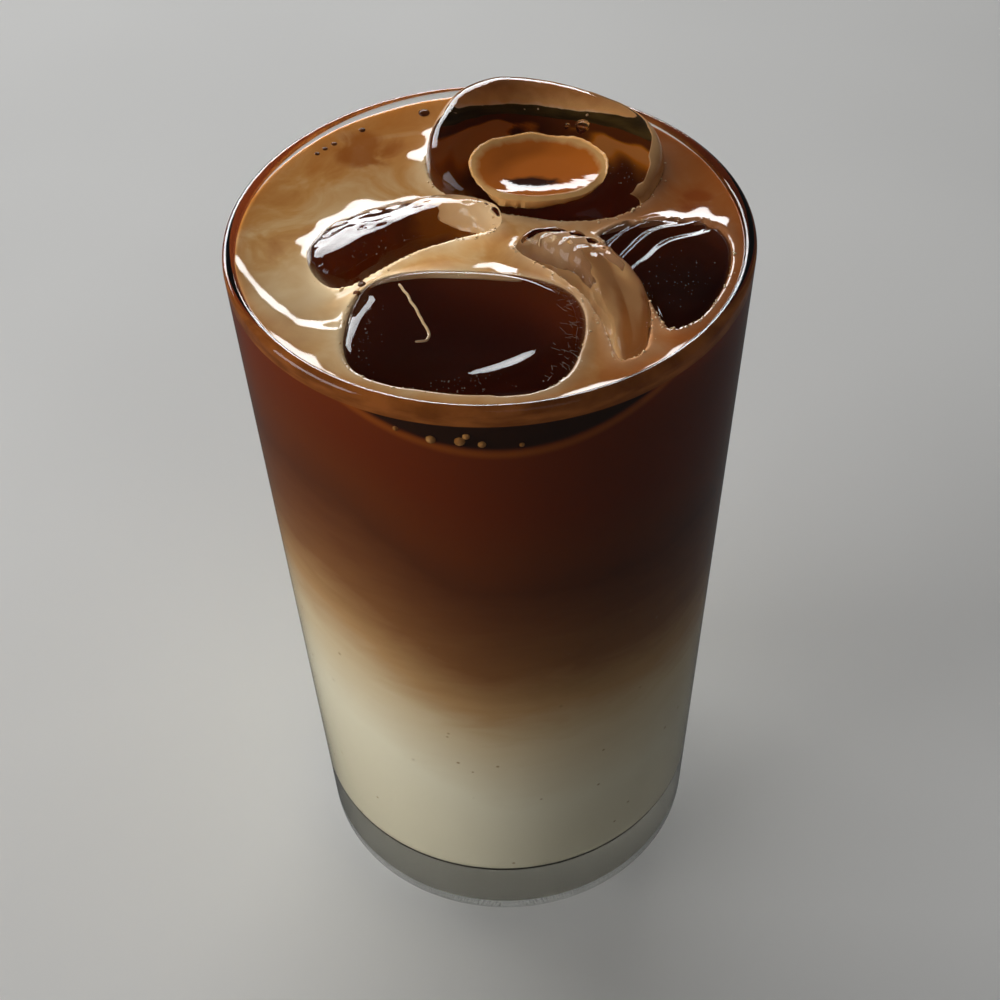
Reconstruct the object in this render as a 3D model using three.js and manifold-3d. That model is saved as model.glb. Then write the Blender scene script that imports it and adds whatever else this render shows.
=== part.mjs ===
// A tall glass of iced latte: milk at the bottom, coffee above it, a thin crema on top
// and five worn ice cubes floating in it. Millimetres, +Z up, the glass stands on z = 0.

import * as THREE from 'three';
import { mergeVertices } from 'three/addons/utils/BufferGeometryUtils.js';
import Module from 'manifold-3d';

const wasm = await Module();
wasm.setup();

// Glass: a plain tumbler that widens from foot to rim
const GLASS_HEIGHT = 133;
const RIM_RADIUS = 40;
const FOOT_RADIUS = 34.6;
const RIM_WALL = 2;
const FOOT_WALL = 3;
const BASE_THICKNESS = 11.5;
const INNER_FILLET = 3.5;
const FOOT_ROUND = 1.8;
const FOOT_RING_WIDTH = 4.4;
const UNDERSIDE_HOLLOW = 1.4;

// Levels in the drink, from the table up
const MILK_TOP = 66;
const BLEND_TOP = 96;
const COFFEE_TOP = 128.8;
const CREMA_TOP = 131;

// Clearance between pieces that touch
const GAP = 0.3;
// Extra room cut round the ice, so that its facets keep the clearance too
const ICE_GAP = 0.4;

// Steps round the glass, along a quarter of a profile arc, and along an edge of an ice cube
const TURN_STEPS = 60;
const ARC_STEPS = 3;
const ICE_STEPS = 7;

// How far the melted faces of the ice wander from a clean form
const ICE_WOBBLE = 0.012;

// Ice cubes. centre: middle of the cube. half: half its width, length and height.
// turn: lean about its own X and Y, then heading about Z, in degrees. plan and side: how square
// it stays seen from above and from the side, where 2 is an ellipse. taper: how much wider its
// far end is than its near end. draft: how much narrower its underside is. bend: sideways bow
// of its middle. dish: depth of the hollow melted into its top.
const ICE_CUBES = [
  {
    name: 'ice_back',
    centre: [8.9, 19.7, 126.6],
    half: [20.1, 15.1, 11.6],
    turn: [14, 7, -20],
    plan: 2.7,
    side: 4.4,
    taper: 0,
    draft: 0.24,
    bend: 0,
    dish: 4.2,
  },
  {
    name: 'ice_left',
    centre: [-12.2, -1.8, 128.3],
    half: [7.6, 18.4, 7.9],
    turn: [0, -14, -65],
    plan: 3,
    side: 3.2,
    taper: -0.36,
    draft: 0.6,
    bend: -7.4,
    dish: 0.5,
  },
  {
    name: 'ice_front',
    centre: [-4.1, -21.8, 121.3],
    half: [18.4, 14.5, 11.9],
    turn: [0.5, 0, -10],
    plan: 3,
    side: 8,
    taper: 0,
    draft: 0.28,
    bend: 0,
    dish: 1.6,
  },
  {
    name: 'ice_mid',
    centre: [13.7, -14.4, 127],
    half: [4.4, 18.2, 9.4],
    turn: [1, -2, 28],
    plan: 3,
    side: 3.2,
    taper: 0,
    draft: 0.45,
    bend: 7.5,
    dish: 0,
  },
  {
    name: 'ice_right',
    centre: [26.5, -9.9, 121.7],
    half: [8.6, 14.8, 11],
    turn: [0, -2, 6],
    plan: 3.4,
    side: 5.5,
    taper: 0.6,
    draft: 0.4,
    bend: 4,
    dish: 0.6,
  },
];

// Colours and finishes
const MATERIALS = {
  glass: { color: '#dfe6e6', roughness: 0.04, transparent: true, opacity: 0.3 },
  milk: { color: '#e9dfc9', roughness: 0.45 },
  blend: { color: '#a8774a', roughness: 0.4 },
  coffee: { color: '#43200d', roughness: 0.3 },
  crema: { color: '#c99a5f', roughness: 0.25 },
  ice: { color: '#e4ecee', roughness: 0.08, transparent: true, opacity: 0.5 },
};

const LIP_RADIUS = RIM_WALL / 2;
const FILLET_HEIGHT = BASE_THICKNESS + INNER_FILLET;

function outerRadius(z) {
  return FOOT_RADIUS + ((RIM_RADIUS - FOOT_RADIUS) * z) / GLASS_HEIGHT;
}

function innerRadius(z) {
  const low = outerRadius(FILLET_HEIGHT) - FOOT_WALL;
  const high = RIM_RADIUS - RIM_WALL;
  return low + ((high - low) * (z - FILLET_HEIGHT)) / (GLASS_HEIGHT - LIP_RADIUS - FILLET_HEIGHT);
}

function material(finish) {
  return new THREE.MeshStandardMaterial({ metalness: 0, ...MATERIALS[finish] });
}

// Turns a profile of radius and height into a body round the Z axis, as bare positions.
function turned(path) {
  const lathe = new THREE.LatheGeometry(path.getPoints(ARC_STEPS), TURN_STEPS);
  lathe.rotateX(Math.PI / 2);
  return positionsOnly(lathe);
}

function positionsOnly(geometry) {
  geometry.deleteAttribute('normal');
  geometry.deleteAttribute('uv');
  return mergeVertices(geometry, 1e-4);
}

function glassGeometry() {
  const ringInside = FOOT_RADIUS - FOOT_ROUND - FOOT_RING_WIDTH;
  const filletCentre = innerRadius(FILLET_HEIGHT) - INNER_FILLET;
  const path = new THREE.Path();
  path.moveTo(0, UNDERSIDE_HOLLOW);
  path.quadraticCurveTo(ringInside * 0.75, UNDERSIDE_HOLLOW, ringInside, 0);
  path.absarc(FOOT_RADIUS - FOOT_ROUND, FOOT_ROUND, FOOT_ROUND, -Math.PI / 2, 0, false);
  path.absarc(RIM_RADIUS - LIP_RADIUS, GLASS_HEIGHT - LIP_RADIUS, LIP_RADIUS, 0, Math.PI, false);
  path.absarc(filletCentre, FILLET_HEIGHT, INNER_FILLET, 0, -Math.PI / 2, true);
  path.lineTo(0, BASE_THICKNESS);
  return turned(path);
}

// The milk fills the rounded bottom of the glass.
function milkGeometry() {
  const round = INNER_FILLET - GAP;
  const filletCentre = innerRadius(FILLET_HEIGHT) - INNER_FILLET;
  const path = new THREE.Path();
  path.moveTo(0, BASE_THICKNESS + GAP);
  path.lineTo(filletCentre, BASE_THICKNESS + GAP);
  path.absarc(filletCentre, FILLET_HEIGHT, round, -Math.PI / 2, 0, false);
  path.lineTo(innerRadius(MILK_TOP) - GAP, MILK_TOP);
  path.lineTo(0, MILK_TOP);
  return turned(path);
}

// One level layer of the drink, from wall to wall.
function layerGeometry(bottom, top) {
  const path = new THREE.Path();
  path.moveTo(0, bottom);
  path.lineTo(innerRadius(bottom) - GAP, bottom);
  path.lineTo(innerRadius(top) - GAP, top);
  path.lineTo(0, top);
  return turned(path);
}

// A worn ice cube: a box whose corners and edges have melted round. grow makes it larger all round.
function iceGeometry(cube, grow = 0) {
  const box = positionsOnly(new THREE.BoxGeometry(2, 2, 2, ICE_STEPS, ICE_STEPS, ICE_STEPS));
  const half = new THREE.Vector3(...cube.half).addScalar(grow);
  const turn = cube.turn.map(THREE.MathUtils.degToRad);
  const lean = new THREE.Euler(turn[0], turn[1], turn[2], 'ZXY');
  const middle = new THREE.Vector3(...cube.centre);
  const points = box.attributes.position;
  const point = new THREE.Vector3();
  for (let i = 0; i < points.count; i += 1) {
    point.fromBufferAttribute(points, i);
    meltCorner(point, cube);
    meltFace(point, cube);
    point.multiply(half);
    point.x += cube.bend * (0.5 - (point.y / half.y) ** 2);
    point.applyEuler(lean).add(middle);
    points.setXYZ(i, point.x, point.y, point.z);
  }
  return box;
}

function meltCorner(point, cube) {
  const { plan, side } = cube;
  const flat = (Math.abs(point.x) ** plan + Math.abs(point.y) ** plan) ** (1 / plan);
  point.divideScalar((flat ** side + Math.abs(point.z) ** side) ** (1 / side));
}

function meltFace(point, cube) {
  const { taper, draft, dish, half } = cube;
  const ripple = Math.sin(3.1 * point.x + half[0]) + Math.sin(2.7 * point.y - 2.3 * point.z + half[1]);
  const out = Math.min(1, (point.x ** 2 + point.y ** 2) / 0.72);
  const hollow = point.z > 0 ? (dish / half[2]) * (1 - out) ** 2 * (point.z ** 4) : 0;
  const narrow = 1 + (draft * (point.z - 1)) / 2;
  point.x *= (1 + taper * point.y) * narrow;
  point.y *= narrow;
  point.z -= hollow;
  point.multiplyScalar(1 + ICE_WOBBLE * ripple);
}

function solidOf(geometry) {
  const vertProperties = new Float32Array(geometry.attributes.position.array);
  const triVerts = new Uint32Array(geometry.index.array);
  return new wasm.Manifold(new wasm.Mesh({ numProp: 3, vertProperties, triVerts }));
}

function geometryOf(solid) {
  const { vertProperties, triVerts } = solid.getMesh();
  const geometry = new THREE.BufferGeometry();
  geometry.setAttribute('position', new THREE.BufferAttribute(vertProperties, 3));
  geometry.setIndex(new THREE.BufferAttribute(triVerts, 1));
  return geometry;
}

// Cuts room for every ice cube out of a layer.
function cutRoundIce(layer) {
  let solid = solidOf(layer);
  for (const cube of ICE_CUBES) {
    solid = solid.subtract(solidOf(iceGeometry(cube, ICE_GAP)));
  }
  return geometryOf(solid);
}

function part(name, geometry, finish) {
  geometry.computeVertexNormals();
  const mesh = new THREE.Mesh(geometry, material(finish));
  mesh.name = name;
  return mesh;
}

const latte = new THREE.Group();
latte.add(part('glass', glassGeometry(), 'glass'));
latte.add(part('milk', milkGeometry(), 'milk'));
latte.add(part('milky_coffee', layerGeometry(MILK_TOP + GAP, BLEND_TOP), 'blend'));
latte.add(part('coffee', cutRoundIce(layerGeometry(BLEND_TOP + GAP, COFFEE_TOP)), 'coffee'));
latte.add(part('crema', cutRoundIce(layerGeometry(COFFEE_TOP + GAP, CREMA_TOP)), 'crema'));
for (const cube of ICE_CUBES) {
  latte.add(part(cube.name, iceGeometry(cube), 'ice'));
}

export default latte;
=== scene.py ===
"""Dresses an iced latte in its glass: clear tumbler, layered drink, wet crema and worn ice cubes.

Sizes are in millimetres and are turned to metres where a mesh or a light is made.
"""

import logging
import math
import random
from collections.abc import Iterable, Sequence
from dataclasses import dataclass, field
from enum import Enum

import bmesh
import bpy
from mathutils import Matrix, Quaternion, Vector, noise
from mathutils.bvhtree import BVHTree
from mathutils.geometry import intersect_point_line
from mathutils.kdtree import KDTree


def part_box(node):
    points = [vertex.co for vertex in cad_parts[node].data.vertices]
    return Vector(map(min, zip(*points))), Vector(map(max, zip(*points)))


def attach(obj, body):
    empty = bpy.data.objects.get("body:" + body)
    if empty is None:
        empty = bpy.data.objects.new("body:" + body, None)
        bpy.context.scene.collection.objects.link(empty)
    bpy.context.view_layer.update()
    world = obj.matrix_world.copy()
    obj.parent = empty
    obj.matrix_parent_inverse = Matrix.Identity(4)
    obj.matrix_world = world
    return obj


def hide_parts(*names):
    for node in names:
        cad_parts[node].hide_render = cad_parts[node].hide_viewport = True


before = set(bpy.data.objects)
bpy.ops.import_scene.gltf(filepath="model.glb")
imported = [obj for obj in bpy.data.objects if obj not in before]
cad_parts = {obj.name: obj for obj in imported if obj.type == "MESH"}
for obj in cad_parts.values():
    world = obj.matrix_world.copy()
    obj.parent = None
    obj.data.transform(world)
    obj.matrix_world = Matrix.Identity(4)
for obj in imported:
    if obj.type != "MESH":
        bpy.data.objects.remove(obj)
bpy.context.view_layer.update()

LOG = logging.getLogger("latte")
MM = 0.001
SEED = 11
BODY = "root"
# Lengths in millimetres below which points count as one: round the axis, and elsewhere
MERGE = 0.0005
HAIR = 0.01
# Height in millimetres from which the tops of the cubes are probed
ABOVE_ALL = 200.0
# Angle in degrees for a piece on which no edge stays sharp
ALL_ROUND = 180.0


class Slot(Enum):
    """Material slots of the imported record."""

    GLASS = "glass"
    MILK = "milk"
    BLEND = "blend"
    COFFEE = "coffee"
    CREMA = "crema"
    ICE = "ice"


class Reach(Enum):
    """What a lamp shows in: everything, reflections alone, or all but reflections."""

    ALL = "all"
    GLOSS = "gloss"
    SOFT = "soft"


class Trace(Enum):
    """Names of the values that meshes carry for their materials."""

    EDGE = "edge"
    AMBER = "amber"
    VEIL = "veil"
    RING = "ring"


def mm(x: float, y: float, z: float) -> Vector:
    """Gives a point in metres from millimetres."""
    return Vector((x, y, z)) * MM


def clip(value: float, low: float = 0.0, high: float = 1.0) -> float:
    """Keeps a number between two limits."""
    return max(low, min(high, value))


def line_gap(spot: Vector, line: tuple[tuple[float, float], ...]) -> float:
    """Gives the distance in plan from a point to a line of several corners.

    Args:
        spot: The point.
        line: Corners of the line.

    Returns:
        Shortest distance, in the point's own unit.
    """
    flat = Vector((spot.x, spot.y))
    gaps = []
    for one, two in zip(line, line[1:]):
        share = clip(intersect_point_line(flat, one, two)[1])
        gaps.append((flat - Vector(one).lerp(Vector(two), share)).length)
    return min(gaps)


def linear(colour: str) -> tuple[float, float, float, float]:
    """Turns an sRGB hex colour to linear.

    Args:
        colour: Colour such as "#c99a5f".

    Returns:
        Linear red, green and blue, and an alpha of 1.
    """
    parts = [int(colour[i : i + 2], 16) / 255 for i in (1, 3, 5)]
    curve = [p / 12.92 if p <= 0.04045 else ((p + 0.055) / 1.055) ** 2.4 for p in parts]
    return (*curve, 1.0)


def add_node(
    tree: bpy.types.NodeTree,
    kind: str,
    inputs: dict[str | int, object] | None = None,
    stops: Sequence[tuple[float, str]] = (),
    **settings: object,
) -> bpy.types.Node:
    """Adds a node with its settings and links.

    Args:
        tree: Node tree that takes the node.
        kind: Blender's name of the node type.
        inputs: Values for the inputs by name or number. A socket as a value is linked.
        stops: Places and hex colours of a colour ramp.
        **settings: Properties of the node.

    Returns:
        The new node.
    """
    node = tree.nodes.new(kind)
    for name, value in settings.items():
        setattr(node, name, value)
    if stops:
        elements = node.color_ramp.elements
        while len(elements) < len(stops):
            elements.new(1.0)
        for element, (place, colour) in zip(elements, stops):
            element.position = place
            element.color = linear(colour)
    for key, value in (inputs or {}).items():
        socket = node.inputs[key]
        if isinstance(value, bpy.types.NodeSocket):
            tree.links.new(value, socket)
        else:
            socket.default_value = value
    return node


def piece_from(name: str, bm: bmesh.types.BMesh, sharp: float = 50.0) -> bpy.types.Object:
    """Makes a smooth shaded object from a bmesh and frees the bmesh.

    Args:
        name: Name of the piece.
        bm: Its shape, in metres, in the part's frame.
        sharp: Angle in degrees from which an edge stays sharp.

    Returns:
        The object, linked to the scene.
    """
    mesh = bpy.data.meshes.new(name)
    bm.to_mesh(mesh)
    bm.free()
    mesh.shade_smooth()
    mesh.set_sharp_from_angle(angle=math.radians(sharp))
    piece = bpy.data.objects.new(name, mesh)
    bpy.context.scene.collection.objects.link(piece)
    return piece


def apply_modifiers(piece: bpy.types.Object) -> None:
    """Bakes a piece's modifiers into its mesh.

    Args:
        piece: Object with modifiers.
    """
    depsgraph = bpy.context.evaluated_depsgraph_get()
    made = bpy.data.meshes.new_from_object(piece.evaluated_get(depsgraph))
    old = piece.data
    piece.modifiers.clear()
    piece.data = made
    made.name = piece.name
    bpy.data.meshes.remove(old)


def carve(piece: bpy.types.Object, cutter: bpy.types.Object) -> None:
    """Cuts one closed mesh out of another.

    Args:
        piece: Object that is cut.
        cutter: Object whose form is taken away.
    """
    cut = piece.modifiers.new("carve", "BOOLEAN")
    cut.operation = "DIFFERENCE"
    cut.solver = "MANIFOLD"
    cut.object = cutter
    apply_modifiers(piece)


def mark(piece: bpy.types.Object, trace: Trace, values: Iterable[float]) -> None:
    """Stores one value for each vertex, for the piece's material.

    Args:
        piece: Object whose mesh takes the values.
        trace: Name of the values.
        values: One number for each vertex, in order.
    """
    layer = piece.data.attributes.new(trace.value, "FLOAT", "POINT")
    layer.data.foreach_set("value", list(values))


def settle(piece: bpy.types.Object, slot: Slot, *nodes: str) -> None:
    """Puts a piece on the part's one body and tells the log.

    Args:
        piece: Finished piece.
        slot: Material slot of the piece; not used.
        *nodes: CAD nodes that it stands for.
    """
    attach(piece, BODY)
    if nodes:
        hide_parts(*nodes)
    LOG.info("%s: %d faces", piece.name, len(piece.data.polygons))


@dataclass(frozen=True)
class Corner:
    """One corner of a turned profile: distance from the axis, height, and how far it is rounded."""

    radius: float
    height: float
    round: float = 0.0


def turned(corners: Sequence[Corner], steps: int, segments: int = 8) -> bmesh.types.BMesh:
    """Spins a profile round the Z axis to a closed body.

    Args:
        corners: Profile from axis to axis, in millimetres.
        steps: Steps of the spin.
        segments: Steps of each rounded corner.

    Returns:
        The body, in metres.
    """
    bm = bmesh.new()
    verts = [bm.verts.new(mm(c.radius, 0, c.height)) for c in corners]
    for one, two in zip(verts, verts[1:]):
        bm.edges.new((one, two))
    for size in sorted({c.round for c in corners if c.round}):
        bmesh.ops.bevel(
            bm,
            geom=[v for v, c in zip(verts, corners) if c.round == size],
            offset=size * MM,
            offset_type="OFFSET",
            affect="VERTICES",
            segments=segments,
            profile=0.5,
            material=-1,
            clamp_overlap=False,
        )
    return spun(bm, steps)


def spun(bm: bmesh.types.BMesh, steps: int) -> bmesh.types.BMesh:
    """Spins what a bmesh holds once round the Z axis and closes it.

    Args:
        bm: Profile of vertices and edges.
        steps: Steps of the spin.

    Returns:
        The same bmesh.
    """
    bmesh.ops.spin(
        bm,
        geom=bm.verts[:] + bm.edges[:],
        axis=(0, 0, 1),
        cent=(0, 0, 0),
        angle=math.tau,
        steps=steps,
        use_merge=True,
    )
    bmesh.ops.remove_doubles(bm, verts=bm.verts, dist=MERGE * MM)
    bmesh.ops.recalc_face_normals(bm, faces=bm.faces)
    return bm


def ringed_plate(
    low: tuple[float, float], high: tuple[float, float], rings: int, steps: int
) -> bmesh.types.BMesh:
    """Spins a flat plate whose top is divided into rings.

    Args:
        low: Radius and height of its underside, in millimetres.
        high: Radius and height of its top, in millimetres.
        rings: Cuts between the middle and the edge of the top.
        steps: Steps of the spin.

    Returns:
        The plate, in metres.
    """
    bm = bmesh.new()
    corners = (mm(0, 0, low[1]), mm(low[0], 0, low[1]), mm(high[0], 0, high[1]), mm(0, 0, high[1]))
    verts = [bm.verts.new(c) for c in corners]
    for one, two in zip(verts, verts[1:]):
        bm.edges.new((one, two))
    top = bm.edges.get((verts[2], verts[3]))
    bmesh.ops.subdivide_edges(bm, edges=[top], cuts=rings)
    return spun(bm, steps)


class Finish:
    """A material, made when it is first asked for."""

    name: str

    def paint(self, tree: bpy.types.NodeTree, shader: bpy.types.Node) -> None:
        """Sets the shader's sockets and adds the nodes that feed them.

        Args:
            tree: Node tree of the material.
            shader: Its Principled shader.
        """
        raise NotImplementedError

    def material(self) -> bpy.types.Material:
        """Gives the material.

        Returns:
            The material with this finish's name.
        """
        made = bpy.data.materials.get(self.name)
        if made is None:
            made = bpy.data.materials.new(self.name)
            made.use_nodes = True
            made.node_tree.nodes.clear()
            shader = add_node(made.node_tree, "ShaderNodeBsdfPrincipled")
            add_node(made.node_tree, "ShaderNodeOutputMaterial", {"Surface": shader.outputs["BSDF"]})
            self.paint(made.node_tree, shader)
        return made

    def dress(self, piece: bpy.types.Object) -> None:
        """Gives a piece this finish alone."""
        piece.data.materials.clear()
        piece.data.materials.append(self.material())


@dataclass(frozen=True)
class ClearGlass(Finish):
    """Soda lime glass, blown in a mould: colourless, a trace of green, slow waves in the wall."""

    name: str = "soda_lime_glass"
    tint: str = "#fbfdfc"
    ior: float = 1.45
    gloss: float = 0.05
    wave_width: float = 16.0
    wave_depth: float = 0.02

    def paint(self, tree: bpy.types.NodeTree, shader: bpy.types.Node) -> None:
        """Sets clear glass whose wall is slightly uneven.

        Args:
            tree: Node tree of the material.
            shader: Its Principled shader.
        """
        shader.inputs["Base Color"].default_value = linear(self.tint)
        shader.inputs["Transmission Weight"].default_value = 1.0
        shader.inputs["Roughness"].default_value = 0.0
        shader.inputs["IOR"].default_value = self.ior
        shader.inputs["Specular IOR Level"].default_value = self.gloss
        place = add_node(tree, "ShaderNodeTexCoord").outputs["Object"]
        wave = add_node(
            tree,
            "ShaderNodeTexNoise",
            {"Vector": place, "Scale": 1 / (self.wave_width * MM), "Detail": 1.0},
        )
        bump = add_node(
            tree,
            "ShaderNodeBump",
            {"Height": wave.outputs["Fac"], "Strength": 0.3, "Distance": self.wave_depth * MM},
        )
        tree.links.new(bump.outputs["Normal"], shader.inputs["Normal"])


@dataclass(frozen=True)
class MeltingIce(Finish):
    """Tray ice that melts: clear, wet, with fine ripples and small pits that break its highlights."""

    name: str = "melting_ice"
    tint: str = "#fdfefe"
    ior: float = 1.31
    ripple_width: float = 1.6
    ripple_depth: float = 0.025

    def paint(self, tree: bpy.types.NodeTree, shader: bpy.types.Node) -> None:
        """Sets clear ice with a rippled wet skin.

        Args:
            tree: Node tree of the material.
            shader: Its Principled shader.
        """
        shader.inputs["Base Color"].default_value = linear(self.tint)
        shader.inputs["Transmission Weight"].default_value = 1.0
        shader.inputs["Roughness"].default_value = 0.02
        shader.inputs["IOR"].default_value = self.ior
        place = add_node(tree, "ShaderNodeTexCoord").outputs["Object"]
        ripple = add_node(
            tree,
            "ShaderNodeTexNoise",
            {"Vector": place, "Scale": 1 / (self.ripple_width * MM), "Detail": 3.0, "Roughness": 0.55},
        )
        bump = add_node(
            tree,
            "ShaderNodeBump",
            {"Height": ripple.outputs["Fac"], "Strength": 0.5, "Distance": self.ripple_depth * MM},
        )
        tree.links.new(bump.outputs["Normal"], shader.inputs["Normal"])


@dataclass(frozen=True)
class LayeredDrink(Finish):
    """Milk under coffee: one cloudy liquid whose tone rises from cream through tan to dark brown.

    Tones are heights and colours; the lowest is darker, painted shade at the bottom of the glass.
    slope: places from left to right, and how far the layers stand higher there. drift and wisp:
    how far slow and thin clouds move the layers, and the widths how wide they are. veil_solid:
    share of crema from which a veil hides the drink. The veil's colours are crema that hangs beside
    the ice, made paler than the foam on top: painted light in the deep hollows round the cubes. The
    dark band behind the front wall, where the front cube nearly touches the glass, is painted shade,
    and the bright line along its lower edge is a painted highlight. The dark line at the bottom,
    shade, is painted shade where the glass curves under the milk, and the grey below it, under, is
    painted shade on the underside. Values that end in top, bottom, from and full are heights or
    distances from the middle.
    """

    name: str = "milk_and_coffee"
    # The lowest tone is darker than the milk above it: painted shade at the bottom.
    tones: tuple[tuple[float, str], ...] = (
        (10.0, "#cfc6ac"),
        (42.0, "#e1d9c1"),
        (60.6, "#d1be9c"),
        (71.0, "#b28c5e"),
        (81.6, "#845832"),
        (91.5, "#6f4223"),
        (101.0, "#5b2f17"),
        (110.0, "#663013"),
        (120.0, "#682a0e"),
        (130.0, "#682a0e"),
    )
    slope: tuple[tuple[float, float], tuple[float, float]] = ((-31.0, 8.0), (0.0, -9.0))
    speck: str = "#8f7350"
    # veil is crema's tone, made paler than the foam on top: painted light in the hollows round the
    # cubes.
    veil: str = "#f2c688"
    veil_orange: str = "#d67d1e"
    veil_dark: str = "#3a2a0e"
    veil_solid: float = 0.5
    # Painted shade: grey on the milk's underside, and a dark line where the glass curves under it.
    under: str = "#98958a"
    shade: str = "#241f16"
    shade_top: float = 13.4
    shade_blend: float = 0.3
    shade_depth: float = 2.0
    # Painted shade on the wall in front of the front cube, and a painted highlight along its lower
    # edge.
    band: str = "#28150a"
    painted_glow: str = "#8a4614"
    drift: float = 5.0
    drift_width: float = 34.0
    wisp: float = 2.6
    wisp_width: float = 9.0
    wisp_squash: tuple[float, float, float] = (1.0, 1.0, 3.2)
    speck_spacing: float = 3.4
    speck_size: float = 0.42
    speck_core: float = 0.3
    speck_share: float = 0.42
    speck_strength: float = 0.75
    speck_top: float = 84.0
    speck_full: float = 66.0
    band_bottom: float = 123.4
    band_middle: float = 2.0
    band_bow: float = 12.0
    band_blend: float = 1.6
    painted_glow_width: float = 1.3
    painted_glow_strength: float = 0.8
    front_from: float = -24.0
    front_full: float = -32.0
    wall_from: float = 37.2
    wall_blend: float = 0.3

    def paint(self, tree: bpy.types.NodeTree, shader: bpy.types.Node) -> None:
        """Paints the layers, specks, and what the ice does to them.

        Args:
            tree: Node tree of the material.
            shader: Its Principled shader.
        """
        place = add_node(tree, "ShaderNodeTexCoord").outputs["Object"]
        axes = add_node(tree, "ShaderNodeSeparateXYZ", {0: place})
        colour = self.layers(tree, place, axes)
        colour = self.specks(tree, place, axes, colour)
        # Painted shade and a painted highlight by the front cube, then painted shade at the bottom.
        colour = self.paint_front_shade_and_glow(tree, axes, colour)
        colour = self.underside(tree, axes, colour)
        # Crema beside the ice, paler than the foam: painted light in the hollows round the cubes.
        veil = add_node(tree, "ShaderNodeAttribute", attribute_name=Trace.VEIL.value)
        tone = add_node(
            tree,
            "ShaderNodeValToRGB",
            {"Fac": veil.outputs["Fac"]},
            ((0.15, self.veil_dark), (0.45, self.veil_orange), (0.95, self.veil)),
        )
        share = add_node(
            tree,
            "ShaderNodeMapRange",
            {"Value": veil.outputs["Fac"], "From Max": self.veil_solid},
        )
        hung = add_node(
            tree,
            "ShaderNodeMix",
            {"Factor": share.outputs["Result"], "A": colour, "B": tone.outputs["Color"]},
            data_type="RGBA",
        )
        tree.links.new(hung.outputs["Result"], shader.inputs["Base Color"])
        shader.inputs["Roughness"].default_value = 0.5
        shader.inputs["Specular IOR Level"].default_value = 0.0

    def layers(
        self, tree: bpy.types.NodeTree, place: bpy.types.NodeSocket, axes: bpy.types.Node
    ) -> bpy.types.NodeSocket:
        """Paints the tones by height, with a slow drift and thin level wisps.

        Args:
            tree: Node tree of the material.
            place: Object coordinates.
            axes: Node that splits them.

        Returns:
            Colour socket.
        """
        low, high = self.tones[0][0], self.tones[-1][0]
        slow = add_node(
            tree,
            "ShaderNodeTexNoise",
            {"Vector": place, "Scale": 1 / (self.drift_width * MM), "Detail": 2.0},
        )
        level = add_node(
            tree, "ShaderNodeMapping", {"Vector": place, "Scale": self.wisp_squash}, vector_type="POINT"
        )
        thin = add_node(
            tree,
            "ShaderNodeTexNoise",
            {
                "Vector": level.outputs["Vector"],
                "Scale": 1 / (self.wisp_width * MM),
                "Detail": 3.0,
                "Distortion": 0.6,
            },
        )
        (left, up), (right, down) = self.slope
        lean = add_node(
            tree,
            "ShaderNodeMapRange",
            {
                "Value": axes.outputs["X"],
                "From Min": left * MM,
                "From Max": right * MM,
                "To Min": up * MM,
                "To Max": down * MM,
            },
            interpolation_type="SMOOTHSTEP",
        )
        level_height = add_node(
            tree,
            "ShaderNodeMath",
            {0: axes.outputs["Z"], 1: lean.outputs["Result"]},
            operation="SUBTRACT",
        )
        rise = add_node(
            tree,
            "ShaderNodeMath",
            {0: slow.outputs["Fac"], 1: 2 * self.drift * MM, 2: level_height.outputs["Value"]},
            operation="MULTIPLY_ADD",
        )
        curl = add_node(
            tree,
            "ShaderNodeMath",
            {0: thin.outputs["Fac"], 1: 2 * self.wisp * MM, 2: rise.outputs["Value"]},
            operation="MULTIPLY_ADD",
        )
        lift = (self.drift + self.wisp) * MM
        height = add_node(
            tree,
            "ShaderNodeMapRange",
            {"Value": curl.outputs["Value"], "From Min": low * MM + lift, "From Max": high * MM + lift},
        )
        stops = [((z - low) / (high - low), tone) for z, tone in self.tones]
        ramp = add_node(tree, "ShaderNodeValToRGB", {"Fac": height.outputs["Result"]}, stops)
        return ramp.outputs["Color"]

    def specks(
        self,
        tree: bpy.types.NodeTree,
        place: bpy.types.NodeSocket,
        axes: bpy.types.Node,
        colour: bpy.types.NodeSocket,
    ) -> bpy.types.NodeSocket:
        """Scatters small brown specks in the milk.

        Args:
            tree: Node tree of the material.
            place: Object coordinates.
            axes: Node that splits them.
            colour: Colour so far.

        Returns:
            Colour socket.
        """
        cells = add_node(
            tree, "ShaderNodeTexVoronoi", {"Vector": place, "Scale": 1 / (self.speck_spacing * MM)}
        )
        reach = self.speck_size / self.speck_spacing
        near = add_node(
            tree,
            "ShaderNodeMapRange",
            {
                "Value": cells.outputs["Distance"],
                "From Min": reach,
                "From Max": reach * self.speck_core,
                "To Max": self.speck_strength,
            },
            interpolation_type="SMOOTHSTEP",
        )
        chosen = add_node(
            tree,
            "ShaderNodeMath",
            {0: cells.outputs["Color"], 1: self.speck_share},
            operation="LESS_THAN",
        )
        low = add_node(
            tree,
            "ShaderNodeMapRange",
            {
                "Value": axes.outputs["Z"],
                "From Min": self.speck_top * MM,
                "From Max": self.speck_full * MM,
            },
        )
        some = add_node(
            tree, "ShaderNodeMath", {0: near.outputs[0], 1: chosen.outputs[0]}, operation="MULTIPLY"
        )
        share = add_node(
            tree, "ShaderNodeMath", {0: some.outputs[0], 1: low.outputs[0]}, operation="MULTIPLY"
        )
        mixed = add_node(
            tree,
            "ShaderNodeMix",
            {"Factor": share.outputs[0], "A": colour, "B": linear(self.speck)},
            data_type="RGBA",
        )
        return mixed.outputs["Result"]

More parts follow.
